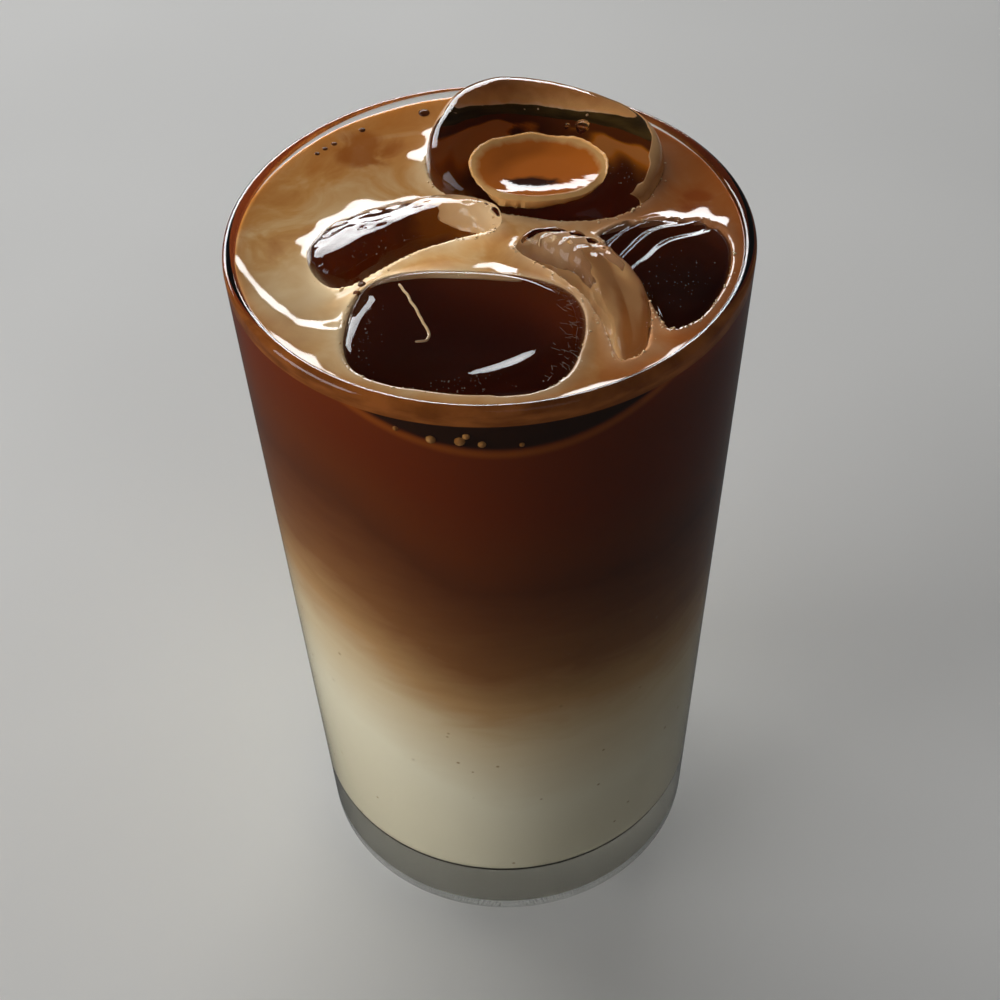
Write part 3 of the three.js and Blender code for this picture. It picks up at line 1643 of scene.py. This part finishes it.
@dataclass
class Crema:
    """The foam on top. It climbs the glass and the ice a little, as a wet liquid does.

    climb and wall_climb: how far it climbs the ice and the wall, and the widths how far out. Under
    the ice it falls by dip. climb_vary: middle, spread and width of what makes the climb uneven.
    swell: height and width of slow waves. ripple: height and width of the raised line along
    ripple_line in plan. pale_rim: strength and width of the cream edge by the ice, and pale_least
    what is left of it between its patches. painted_light_spot: plan middle, radius, strength and least
    strength of a pale place at the front left, which is painted light. amber_rim: strength and
    width of the amber edge by the wall.
    wall_steep, at_wall_gap and under_ice_gap: which faces count as standing at the wall or the ice.
    """

    glass: Tumbler
    drink: Drink
    ice: IceSet
    climb: float = 0.8
    wall_climb: float = 0.95
    climb_width: float = 2.1
    wall_climb_width: float = 2.8
    climb_vary: tuple[float, float, float] = (0.9, 0.5, 4.0)
    inner_climb_width: float = 0.35
    dip: tuple[float, float] = (0.6, 0.6)
    rise_limit: float = 1.15
    swell: tuple[float, float] = (0.12, 7.0)
    ripple: tuple[float, float] = (0.34, 1.7)
    ripple_line: tuple[tuple[float, float], ...] = (
        (-39.0, -4.0),
        (-34.2, -12.0),
        (-32.0, -15.2),
        (-28.2, -19.2),
        (-22.3, -20.9),
    )
    pale_rim: tuple[float, float] = (0.9, 1.3)
    pale_least: float = 0.4
    pale_patch: float = 5.0
    painted_light_spot: tuple[float, float, float, float, float] = (-28.0, -14.0, 11.0, 0.75, 0.35)
    amber_rim: tuple[float, float] = (0.6, 1.8)
    wall_steep: float = 0.4
    at_wall_gap: float = 0.4
    under_ice_gap: float = 0.6
    sharp: float = 60.0
    steps: int = 320
    rings: int = 110
    finish: Finish = field(default_factory=CremaFoam)
    at_wall: Finish = field(default_factory=CremaAtWall)
    under_ice: Finish = field(
        default_factory=lambda: CremaAtWall("crema_under_ice", tone="#574420", streak="#382a10")
    )
    shores: KDTree | None = None
    piece: bpy.types.Object | None = None

    def build(self) -> None:
        """Makes the foam with its raised edges and cuts it round the ice."""
        self.shores = self.shore_tree()
        low = (self.drink.wall(CREMA_BOTTOM), CREMA_BOTTOM)
        high = (self.drink.wall(LEVEL), LEVEL)
        bm = ringed_plate(low, high, self.rings, self.steps)
        for vert in bm.verts:
            if vert.co.z > (LEVEL - HAIR) * MM:
                vert.co.z += self.rise_at(vert.co) * MM
        self.piece = piece_from("crema_top", bm)
        self.ice.cut_from(self.piece, self.sharp)
        mark(self.piece, Trace.EDGE, [self.paleness_and_painted_light_at(v.co) for v in self.piece.data.vertices])
        mark(self.piece, Trace.AMBER, [self.amber_at(v.co) for v in self.piece.data.vertices])
        self.finish.dress(self.piece)
        self.piece.data.materials.append(self.at_wall.material())
        self.piece.data.materials.append(self.under_ice.material())
        for face in self.piece.data.polygons:
            if abs(face.normal.z) > self.wall_steep:
                continue
            out = math.hypot(face.center.x, face.center.y) / MM
            cube, gap = self.ice.nearest(face.center)
            if out > self.glass.inner_radius(LEVEL) - self.at_wall_gap:
                face.material_index = 1
            elif cube.node == "ice_back" and gap < self.under_ice_gap * MM:
                face.material_index = 2
        settle(self.piece, Slot.CREMA, "crema")

    def shore_tree(self) -> KDTree:
        """Collects the waterlines of all cubes for quick search.

        Returns:
            Search tree of points.
        """
        points = [p for cube in self.ice.cubes for p in cube.shore]
        tree = KDTree(len(points))
        for index, point in enumerate(points):
            tree.insert(point, index)
        tree.balance()
        return tree

    def shore_gap(self, place: Vector) -> float:
        """Gives the level distance to the nearest waterline in millimetres."""
        flat = Vector((place.x, place.y, LEVEL * MM))
        return self.shores.find(flat)[2] / MM

    def wall_gap(self, spot: Vector) -> float:
        """Gives the level distance to the wall, all in millimetres."""
        return max(0.0, self.glass.inner_radius(LEVEL) - math.hypot(spot.x, spot.y))

    def rise_at(self, place: Vector) -> float:
        """Works out how far the foam stands above its level at a place.

        Args:
            place: Point on the level top, in metres.

        Returns:
            Height in millimetres.
        """
        spot = place / MM
        gap = max(0.0, self.shore_gap(place))
        if any(c.holds(place) for c in self.ice.cubes):
            depth, width = self.dip
            rise = self.climb * math.exp(-gap / self.inner_climb_width)
            rise -= depth * (1 - math.exp(-gap / width))
        else:
            usual, spread, width = self.climb_vary
            uneven = usual + spread * noise.noise(Vector((spot.x, spot.y, 9)) / width)
            rise = self.climb * math.exp(-gap / (self.climb_width * uneven))
        rise += self.wall_climb * math.exp(-self.wall_gap(spot) / self.wall_climb_width)
        height, width = self.swell
        wave = height * noise.noise(Vector((spot.x, spot.y, 0)) / width)
        height, width = self.ripple
        away = line_gap(spot, self.ripple_line) / width
        return min(rise, self.rise_limit) + wave + height * math.exp(-away * away)

    def paleness_and_painted_light_at(self, place: Vector) -> float:
        """Works out how pale the foam is near the ice, with a pale place of painted light at the front
        left.

        Args:
            place: Point of the foam, in metres.

        Returns:
            Share of cream from 0 to 1.
        """
        spot = place / MM
        gap = self.shore_gap(place)
        patchy = 0.5 + 0.5 * noise.noise(Vector((spot.x, spot.y, 3)) / self.pale_patch)
        strength, width = self.pale_rim
        pale = strength * math.exp(-gap / width) * (self.pale_least + patchy)
        # Painted light: a pale place on the foam at the front left.
        x, y, reach, strength, least = self.painted_light_spot
        away = math.hypot(spot.x - x, spot.y - y) / reach
        pale += strength * math.exp(-away * away) * (least + patchy)
        return min(1.0, pale)

    def amber_at(self, place: Vector) -> float:
        """Works out how amber the foam is near the wall.

        Args:
            place: Point of the foam, in metres.

        Returns:
            Share of amber from 0 to 1.
        """
        strength, width = self.amber_rim
        return strength * math.exp(-self.wall_gap(place / MM) / width)


@dataclass
class IcePuddle:
    """Crema left in the hollow of the back cube: a pool that climbs its banks.

    level: height of its middle. bow: how far it climbs towards its edge. film: thickness of the skin
    on the banks, which ends tuck below the ice. soft: how softly pool and skin meet. edge_from and
    edge_drop: where the pool turns down, as a share of its half size, and how steeply. middle and
    half: the oval in plan, made uneven by waves, each a height and a pace round it. rim: where the
    pale rim begins and how wide it is, as shares. eye and eye_half: the dark place in it.
    """

    ice: IceSet
    level: float = 133.7
    bow: float = 1.0
    film: float = 0.2
    tuck: float = 0.12
    soft: float = 0.5
    edge_from: float = 0.9
    edge_drop: float = 7.0
    bottom: float = 130.4
    middle: tuple[float, float] = (8.0, 13.0)
    half: tuple[float, float] = (10.8, 7.6)
    waves: tuple[tuple[float, float], ...] = ((0.06, 2.0), (0.015, 10.0))
    rim: tuple[float, float] = (0.78, 0.2)
    eye: tuple[float, float] = (6.8, 10.6)
    eye_half: tuple[float, float] = (4.5, 1.7)
    sharp: float = 60.0
    rings: int = 48
    steps: int = 200
    finish: Finish = field(default_factory=CremaPuddle)

    def build(self) -> None:
        """Fills the hollow and cuts the pool to the ice."""
        bm = ringed_plate((1, self.bottom), (1, self.level), self.rings, self.steps)
        for vert in bm.verts:
            unit = vert.co / MM
            spot = self.place_at(unit)
            if unit.z > self.level - HAIR:
                spot.z = self.top_at(spot, math.hypot(unit.x, unit.y))
            vert.co = spot * MM
        piece = piece_from("ice_puddle", bm)
        self.ice.cut_from(piece, self.sharp, self.ice.cube("ice_back"))
        mark(piece, Trace.RING, [self.ring_at(v.co / MM) for v in piece.data.vertices])
        self.finish.dress(piece)
        settle(piece, Slot.CREMA)

    def place_at(self, unit: Vector) -> Vector:
        """Spreads a point of the unit disc over the ragged oval of the pool.

        Args:
            unit: Point of the disc.

        Returns:
            Point in millimetres.
        """
        turn = math.atan2(unit.y, unit.x)
        round_it = Vector((math.cos(turn), math.sin(turn), 2))
        ragged = 1.0
        for height, pace in self.waves:
            ragged += height * noise.noise(pace * round_it)
        x = self.middle[0] + self.half[0] * unit.x * ragged
        y = self.middle[1] + self.half[1] * unit.y * ragged
        return Vector((x, y, unit.z))

    def top_at(self, spot: Vector, share: float) -> float:
        """Gives the height of the pool: hollow where it is deep, a film where the ice rises.

        Args:
            spot: Point in plan, in millimetres.
            share: How far out it lies, from 0 to 1.

        Returns:
            Height in millimetres.
        """
        outer = share**6
        skin = self.film * math.sqrt(max(0.0, 1 - outer)) - self.tuck * outer
        hit = self.ice.cube("ice_back").top_at(spot.x, spot.y)
        bank = self.level if hit is None else hit[0].z / MM
        pool = self.level + self.bow * share**3 - self.edge_drop * max(0.0, share - self.edge_from)
        blend = clip(0.5 + (bank + skin - pool) / (2 * self.soft))
        return pool + (bank + skin - pool) * blend + self.soft * blend * (1 - blend)

    def ring_at(self, spot: Vector) -> float:
        """Works out the tone of the pool: 1 at its rim, 0 in its dark eye.

        Args:
            spot: Point of the pool, in millimetres.

        Returns:
            Value for the finish.
        """
        out = self.oval_gap(spot, self.middle, self.half)
        away = self.oval_gap(spot, self.eye, self.eye_half)
        start, width = self.rim
        return 0.5 + 0.5 * clip((out - start) / width) - 0.5 * math.exp(-away * away)

    @staticmethod
    def oval_gap(spot: Vector, middle: tuple[float, float], half: tuple[float, float]) -> float:
        """Gives the distance from the middle of an oval in plan, which is 1 on its outline."""
        return math.hypot((spot.x - middle[0]) / half[0], (spot.y - middle[1]) / half[1])


@dataclass
class CremaFilm:
    """Foam that clings to the sides of a cube above the drink. Through the ice it shows as a tan band.

    facing: plan direction of the covered side, and side_least how far round from it the foam goes.
    steepest: how far a covered face may lean upwards, and outward how far it has to face out.
    ragged and ragged_width: how the edge of the foam wanders. below: how far it reaches under the
    level. smoothing: times that its edge is smoothed. rim_inset: how far in from a side the height
    of the cube's rim is taken, and rim_least how high it is at least above the level.
    """

    ice: IceSet
    node: str = "ice_back"
    facing: tuple[float, float] = (0.45, 0.9)
    side_least: float = -0.25
    steepest: float = 0.82
    outward: float = 0.2
    ragged: float = 0.12
    ragged_width: float = 3.0
    below: float = 0.8
    smoothing: int = 6
    inset: float = 0.08
    thickness: float = 0.14
    rim_inset: float = 3.0
    rim_least: float = 1.0
    sharp: float = 60.0
    finish: Finish = field(default_factory=CremaSkin)

    def build(self) -> None:
        """Lifts a thin skin off the cube's sides."""
        cube = self.ice.cube(self.node)
        low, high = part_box(self.node)
        middle = (low + high) / 2
        side = Vector((*self.facing, 0.0)).normalized()
        bm = cube.bare_copy()
        rest = [f for f in bm.faces if not self.covers(f, middle, side)]
        bmesh.ops.delete(bm, geom=rest, context="FACES")
        rim = [v for v in bm.verts if v.is_boundary]
        for _ in range(self.smoothing):
            bmesh.ops.smooth_vert(
                bm, verts=rim, factor=0.5, use_axis_x=True, use_axis_y=True, use_axis_z=True
            )
        for vert in bm.verts:
            vert.co -= vert.normal * self.inset * MM
        bmesh.ops.solidify(bm, geom=bm.faces[:], thickness=-self.thickness * MM)
        bmesh.ops.recalc_face_normals(bm, faces=bm.faces)
        piece = piece_from(self.node + "_film", bm, self.sharp)
        shares = [self.share_at(cube, v.co / MM, middle / MM) for v in piece.data.vertices]
        mark(piece, Trace.RING, shares)
        self.finish.dress(piece)
        settle(piece, Slot.CREMA)

    def share_at(self, cube: IceCube, spot: Vector, middle: Vector) -> float:
        """Works out how far up between the drink and the cube's rim a point lies.

        Args:
            cube: The cube.
            spot: Point on its side, in millimetres.
            middle: Middle of the cube, in millimetres.

        Returns:
            Share from 0 at the drink to 1 at the rim.
        """
        inward = Vector((middle.x - spot.x, middle.y - spot.y, 0.0)).normalized() * self.rim_inset
        hit = cube.top_at(spot.x + inward.x, spot.y + inward.y)
        rim = spot.z + self.rim_least if hit is None else max(hit[0].z / MM, LEVEL + self.rim_least)
        return clip((spot.z - LEVEL) / (rim - LEVEL))

    def covers(self, face: bmesh.types.BMFace, middle: Vector, side: Vector) -> bool:
        """Tells whether foam clings to a face.

        Args:
            face: Face of the cube.
            middle: Middle of the cube.
            side: Direction of the side that is covered.

        Returns:
            True where there is foam.
        """
        place = face.calc_center_median()
        spot = place / MM
        ragged = self.ragged * noise.noise(spot / self.ragged_width)
        steep = abs(face.normal.z) < self.steepest + ragged
        out = Vector((place.x - middle.x, place.y - middle.y, 0.0)).normalized()
        outer = face.normal.dot(out) > self.outward and out.dot(side) > self.side_least + ragged
        return steep and outer and spot.z > LEVEL - self.below


@dataclass
class IceFlaws:
    """Fine air in the ice: needles that fan out to the edge of the front cube, and specks.

    A fan has a plan middle, a radius, first and last heading in degrees, and a count. A cluster has a
    plan middle, half sizes and a count. needle: least and greatest length. needle_thin: range of
    shares of needle_width. scatter and stray: how far needles lie off the fan's radius, and turn off
    it in radians. needle_dip: range of their slopes. speck: range of radii. deep: range of depths
    under the ice's top. spread: half sizes of a cluster in standard deviations.
    """

    ice: IceSet
    fans: tuple[tuple[float, float, float, float, float, int], ...] = (
        (-3.0, -21.0, 15.0, -50.0, 42.0, 70),
    )
    clusters: tuple[tuple[str, float, float, float, float, int], ...] = (
        ("ice_front", -18.0, -22.0, 2.0, 7.0, 60),
        ("ice_front", -6.0, -33.5, 9.0, 1.4, 70),
        ("ice_left", -16.0, -5.0, 5.0, 4.0, 50),
        ("ice_right", 28.0, -12.0, 4.0, 6.0, 50),
        ("ice_back", 21.0, 11.0, 3.0, 2.0, 30),
    )
    needle: tuple[float, float] = (0.4, 1.5)
    needle_width: float = 0.035
    needle_thin: tuple[float, float] = (0.5, 1.0)
    needle_tip: float = 0.02
    needle_sides: int = 5
    needle_dip: tuple[float, float] = (-0.3, 0.05)
    scatter: float = 1.0
    stray: float = 0.7
    speck: tuple[float, float] = (0.03, 0.1)
    deep: tuple[float, float] = (0.3, 1.6)
    spread: float = 1.6
    finish: Finish = field(default_factory=TrappedAir)

    def build(self) -> None:
        """Makes the needles and the specks."""
        rng = random.Random(SEED + 1)
        self.build_needles(rng)
        self.build_specks(rng)

    def build_needles(self, rng: random.Random) -> None:
        """Sets needles of air into the front cube.

        Args:
            rng: Source of random numbers.
        """
        cube = self.ice.cube("ice_front")
        bm = bmesh.new()
        for x, y, radius, first, last, count in self.fans:
            for _ in range(count):
                turn = math.radians(rng.uniform(first, last))
                out = radius + rng.gauss(0, self.scatter)
                hit = cube.top_at(x + out * math.cos(turn), y + out * math.sin(turn))
                if hit is None:
                    continue
                length = rng.uniform(*self.needle)
                turn += rng.gauss(0, self.stray)
                aim = Vector((math.cos(turn), math.sin(turn), rng.uniform(*self.needle_dip)))
                place = hit[0] - mm(0, 0, rng.uniform(*self.deep))
                turned_to = Matrix.Translation(place) @ aim.to_track_quat("Z", "Y").to_matrix().to_4x4()
                bmesh.ops.create_cone(
                    bm,
                    cap_ends=True,
                    segments=self.needle_sides,
                    radius1=self.needle_width * rng.uniform(*self.needle_thin) * MM,
                    radius2=self.needle_tip * MM,
                    depth=length * MM,
                    matrix=turned_to,
                )
        piece = piece_from("air_needles", bm)
        self.finish.dress(piece)
        settle(piece, Slot.ICE)

    def build_specks(self, rng: random.Random) -> None:
        """Strews small bubbles of air under the tops of the cubes.

        Args:
            rng: Source of random numbers.
        """
        bm = bmesh.new()
        for node, x, y, across, along, count in self.clusters:
            cube = self.ice.cube(node)
            for _ in range(count):
                hit = cube.top_at(rng.gauss(x, across / self.spread), rng.gauss(y, along / self.spread))
                if hit is None:
                    continue
                place = hit[0] - mm(0, 0, rng.uniform(*self.deep))
                size = Matrix.Translation(place) @ Matrix.Scale(rng.uniform(*self.speck) * MM, 4)
                bmesh.ops.create_icosphere(bm, subdivisions=1, radius=1.0, matrix=size)
        piece = piece_from("air_specks", bm, ALL_ROUND)
        self.finish.dress(piece)
        settle(piece, Slot.ICE)


@dataclass
class CremaThread:
    """A thread of foam that lies in a hook across the front cube.

    line: its corners in plan. wobble and wobble_width: how it wanders from them. lean: tilt of its
    first section in degrees. pale: how pale its foam is.
    """

    ice: IceSet
    line: tuple[tuple[float, float], ...] = (
        (-13.2, -12.3),
        (-12.5, -14.0),
        (-11.7, -15.8),
        (-10.9, -17.7),
        (-10.2, -19.7),
        (-9.4, -21.8),
        (-8.8, -23.7),
        (-9.3, -25.0),
        (-11.6, -25.3),
    )
    radius: float = 0.24
    sides: int = 8
    wobble: float = 0.3
    wobble_width: float = 0.7
    lean: float = 70.0
    pale: float = 0.7
    levels: int = 2
    finish: Finish = field(default_factory=CremaFoam)

    def build(self) -> None:
        """Draws a round section along the line."""
        cube = self.ice.cube("ice_front")
        path = []
        for one, two in zip(self.line, self.line[1:]):
            for part in (0.0, 0.34, 0.67):
                spot = Vector(one).lerp(Vector(two), part)
                aside = self.wobble * noise.noise(Vector((spot.x, spot.y, 0)) / self.wobble_width)
                path.append(cube.top_at(spot.x + aside, spot.y)[0])
        bm = bmesh.new()
        lean = Matrix.Translation(path[0]) @ Matrix.Rotation(math.radians(self.lean), 4, "X")
        ring = bmesh.ops.create_circle(
            bm, cap_ends=True, segments=self.sides, radius=self.radius * MM, matrix=lean
        )["verts"]
        edges = list({e for v in ring for e in v.link_edges})
        for one, two in zip(path, path[1:]):
            made = bmesh.ops.extrude_edge_only(bm, edges=edges)["geom"]
            fresh = [g for g in made if isinstance(g, bmesh.types.BMVert)]
            edges = [g for g in made if isinstance(g, bmesh.types.BMEdge)]
            bmesh.ops.translate(bm, verts=fresh, vec=two - one)
        bmesh.ops.contextual_create(bm, geom=edges)
        bmesh.ops.recalc_face_normals(bm, faces=bm.faces)
        piece = piece_from("crema_thread", bm, ALL_ROUND)
        fine = piece.modifiers.new("fine", "SUBSURF")
        fine.levels = fine.render_levels = self.levels
        apply_modifiers(piece)
        mark(piece, Trace.EDGE, [self.pale for _ in piece.data.vertices])
        mark(piece, Trace.AMBER, [0.0 for _ in piece.data.vertices])
        self.finish.dress(piece)
        settle(piece, Slot.CREMA)


@dataclass
class Bubbles:
    """Foam beads along the waterlines, open bubbles in the crema and bubbles at the front wall.

    bead_size: range of radii, and bead_shrink range of shares of them. bead_scatter: how far beads
    lie off the waterline. bead_sink and hole_sink: how deep beads and open bubbles sit in the foam.
    bead_flat and hole_flat: their heights as shares of their widths. wall_bubbles: place to the
    right, height and radius. holes: plan place and radius of the open bubbles.
    """

    drink: Drink
    crema: Crema
    ice: IceSet
    beads: int = 520
    bead_size: tuple[float, float] = (0.12, 0.3)
    bead_shrink: tuple[float, float] = (0.5, 1.0)
    bead_scatter: float = 0.35
    bead_sink: float = 0.02
    bead_flat: float = 0.8
    hole_sink: float = 0.1
    hole_flat: float = 0.45
    wall_bubbles: tuple[tuple[float, float, float], ...] = (
        (-8.8, 126.0, 0.75),
        (-4.9, 126.1, 0.8),
        (-4.0, 127.1, 0.55),
        (-1.9, 125.6, 0.6),
        (3.5, 125.2, 0.4),
        (-13.5, 127.0, 0.45),
    )
    holes: tuple[tuple[float, float, float], ...] = (
        (-27.0, 23.7, 0.5),
        (-25.8, 25.0, 0.5),
        (-24.4, 26.3, 0.55),
        (-20.0, 30.0, 0.6),
        (-14.1, -4.4, 0.9),
        (-15.6, -6.2, 0.6),
        (-18.9, -10.0, 0.7),
        (-19.5, -12.1, 0.6),
        (-10.0, 34.3, 1.0),
    )
    pale: Finish = field(default_factory=FoamBubble)
    gold: Finish = field(
        default_factory=lambda: FoamBubble("wall_bubble_skin", tone="#b07f45", shade="#7a4a1e")
    )
    dark: Finish = field(
        default_factory=lambda: FoamBubble("open_bubble_skin", tone="#6b3c18", shade="#43200c")
    )

    def build(self) -> None:
        """Makes the three kinds of bubble."""
        rng = random.Random(SEED)
        self.build_beads(rng)
        self.build_holes()
        self.build_wall_bubbles()

    @staticmethod
    def add_bubble(bm: bmesh.types.BMesh, place: Vector, radius: float, flat: float, fine: int) -> None:
        """Adds one bubble to a bmesh.

        Args:
            bm: Shape that takes it.
            place: Its middle, in metres.
            radius: Its radius in millimetres.
            flat: Its height as a share of its width.
            fine: Subdivisions of the sphere.
        """
        size = Matrix.Diagonal((radius * MM, radius * MM, radius * flat * MM, 1))
        matrix = Matrix.Translation(place) @ size
        bmesh.ops.create_icosphere(bm, subdivisions=fine, radius=1.0, matrix=matrix)

    def build_beads(self, rng: random.Random) -> None:
        """Strews small beads of foam along the waterlines.

        Args:
            rng: Source of random numbers.
        """
        bm = bmesh.new()
        shores = [cube.shore for cube in self.ice.cubes]
        for _ in range(self.beads):
            point = rng.choice(rng.choice(shores))
            place = point + mm(rng.gauss(0, self.bead_scatter), rng.gauss(0, self.bead_scatter), 0)
            place.z = (LEVEL + self.crema.rise_at(place) - self.bead_sink) * MM
            radius = rng.uniform(*self.bead_size) * rng.uniform(*self.bead_shrink)
            self.add_bubble(bm, place, radius, self.bead_flat, 1)
        piece = piece_from("foam_beads", bm, ALL_ROUND)
        self.pale.dress(piece)
        settle(piece, Slot.CREMA)

    def build_holes(self) -> None:
        """Sets larger thin bubbles into the crema."""
        bm = bmesh.new()
        for x, y, radius in self.holes:
            place = mm(x, y, LEVEL)
            place.z += (self.crema.rise_at(place) - self.hole_sink) * MM
            self.add_bubble(bm, place, radius, self.hole_flat, 2)
        piece = piece_from("open_bubbles", bm, ALL_ROUND)
        self.dark.dress(piece)
        settle(piece, Slot.CREMA)

    def build_wall_bubbles(self) -> None:
        """Sets bubbles against the inside of the front wall."""
        bm = bmesh.new()
        for x, z, radius in self.wall_bubbles:
            out = self.drink.wall(z)
            y = -math.sqrt(out * out - x * x)
            self.add_bubble(bm, mm(x, y, z), radius, 1.0, 2)
        piece = piece_from("wall_bubbles", bm, ALL_ROUND)
        self.gold.dress(piece)
        settle(piece, Slot.CREMA)


@dataclass(frozen=True)
class SeamlessPaper(Mottled):
    """Pale paper of a studio floor: matt, with a faint unevenness."""

    name: str = "pale_paper"
    tone: str = "#ebebe9"
    shade: str = "#e2e2e0"
    change: float = 160.0
    turn: tuple[float, float] = (0.3, 0.7)
    roughness: float = 0.9


@dataclass(frozen=True)
class Softbox:
    """One soft lamp: where it stands, what it points at, its size in metres and its power in watts."""

    name: str
    place: tuple[float, float, float]
    target: tuple[float, float, float]
    size: tuple[float, float]
    power: float
    reach: Reach = Reach.ALL
    colour: str = "#ffffff"

    def build(self) -> None:
        """Sets up the lamp."""
        lamp = bpy.data.lights.new(self.name, "AREA")
        lamp.shape = "RECTANGLE"
        lamp.size, lamp.size_y = self.size
        lamp.energy = self.power
        lamp.color = linear(self.colour)[:3]
        stand = bpy.data.objects.new(self.name, lamp)
        stand.location = self.place
        aim = Vector(self.target) - Vector(self.place)
        stand.rotation_euler = aim.to_track_quat("-Z", "Y").to_euler()
        stand.visible_diffuse = self.reach is not Reach.GLOSS
        stand.visible_glossy = self.reach is not Reach.SOFT
        bpy.context.scene.collection.objects.link(stand)


@dataclass
class Studio:
    """Floor, lamps, surroundings and camera."""

    lamps: tuple[Softbox, ...] = (
        Softbox("window", (-0.24, 0.7, 0.34), (0.0, 0.0, 0.12), (0.95, 0.34), 10.0, Reach.GLOSS),
        Softbox("sky", (-0.17, 0.5, 0.76), (0.0, 0.0, 0.12), (0.95, 0.34), 3.45, Reach.SOFT),
        Softbox("key", (-0.85, -0.27, 0.3), (0.0, 0.0, 0.08), (0.6, 0.5), 4.0),
        Softbox("fill", (0.25, -0.85, 0.75), (0.0, 0.0, 0.08), (0.6, 0.6), 0.3),
    )
    surroundings: str = "#b4b4b4"
    strength: float = 0.14
    eye: tuple[float, float, float] = (0.28, -217.90, 296.51)
    target: tuple[float, float, float] = (0.28, 0.0, 75.39)
    roll: float = -1.97
    lens: float = 64.8
    floor_size: float = 3.0
    paper: Finish = field(default_factory=SeamlessPaper)

    def build(self) -> None:
        """Sets up everything round the part."""
        bm = bmesh.new()
        bmesh.ops.create_grid(bm, x_segments=4, y_segments=4, size=self.floor_size)
        floor = piece_from("floor", bm)
        floor.visible_glossy = False
        self.paper.dress(floor)
        for lamp in self.lamps:
            lamp.build()
        world = bpy.data.worlds.new("surroundings")
        world.use_nodes = True
        ground = world.node_tree.nodes["Background"]
        ground.inputs["Color"].default_value = linear(self.surroundings)
        ground.inputs["Strength"].default_value = self.strength
        bpy.context.scene.world = world
        self.build_camera()

    def build_camera(self) -> None:
        """Places the camera where the photograph was taken from."""
        view = bpy.data.cameras.new("camera")
        view.lens = self.lens
        view.sensor_width = 36.0
        view.clip_start = 0.01
        camera = bpy.data.objects.new("camera", view)
        eye, target = mm(*self.eye), mm(*self.target)
        aim = (target - eye).to_track_quat("-Z", "Y")
        lean = Quaternion((0, 0, 1), math.radians(self.roll))
        camera.location = eye
        camera.rotation_euler = (aim @ lean).to_euler()
        bpy.context.scene.collection.objects.link(camera)
        bpy.context.scene.camera = camera


def main() -> None:
    """Builds the part and its studio."""
    logging.basicConfig(level=logging.INFO, format="%(name)s %(message)s")
    scene = bpy.context.scene
    scene.view_settings.view_transform = "Standard"
    glass = Tumbler()
    glass.build()
    ice = IceSet()
    ice.build()
    drink = Drink(glass, ice)
    drink.build()
    crema = Crema(glass, drink, ice)
    crema.build()
    IcePuddle(ice).build()
    CremaFilm(ice).build()
    CremaThread(ice).build()
    IceFlaws(ice).build()
    Bubbles(drink, crema, ice).build()
    Studio().build()


if __name__ == "__main__":
    main()
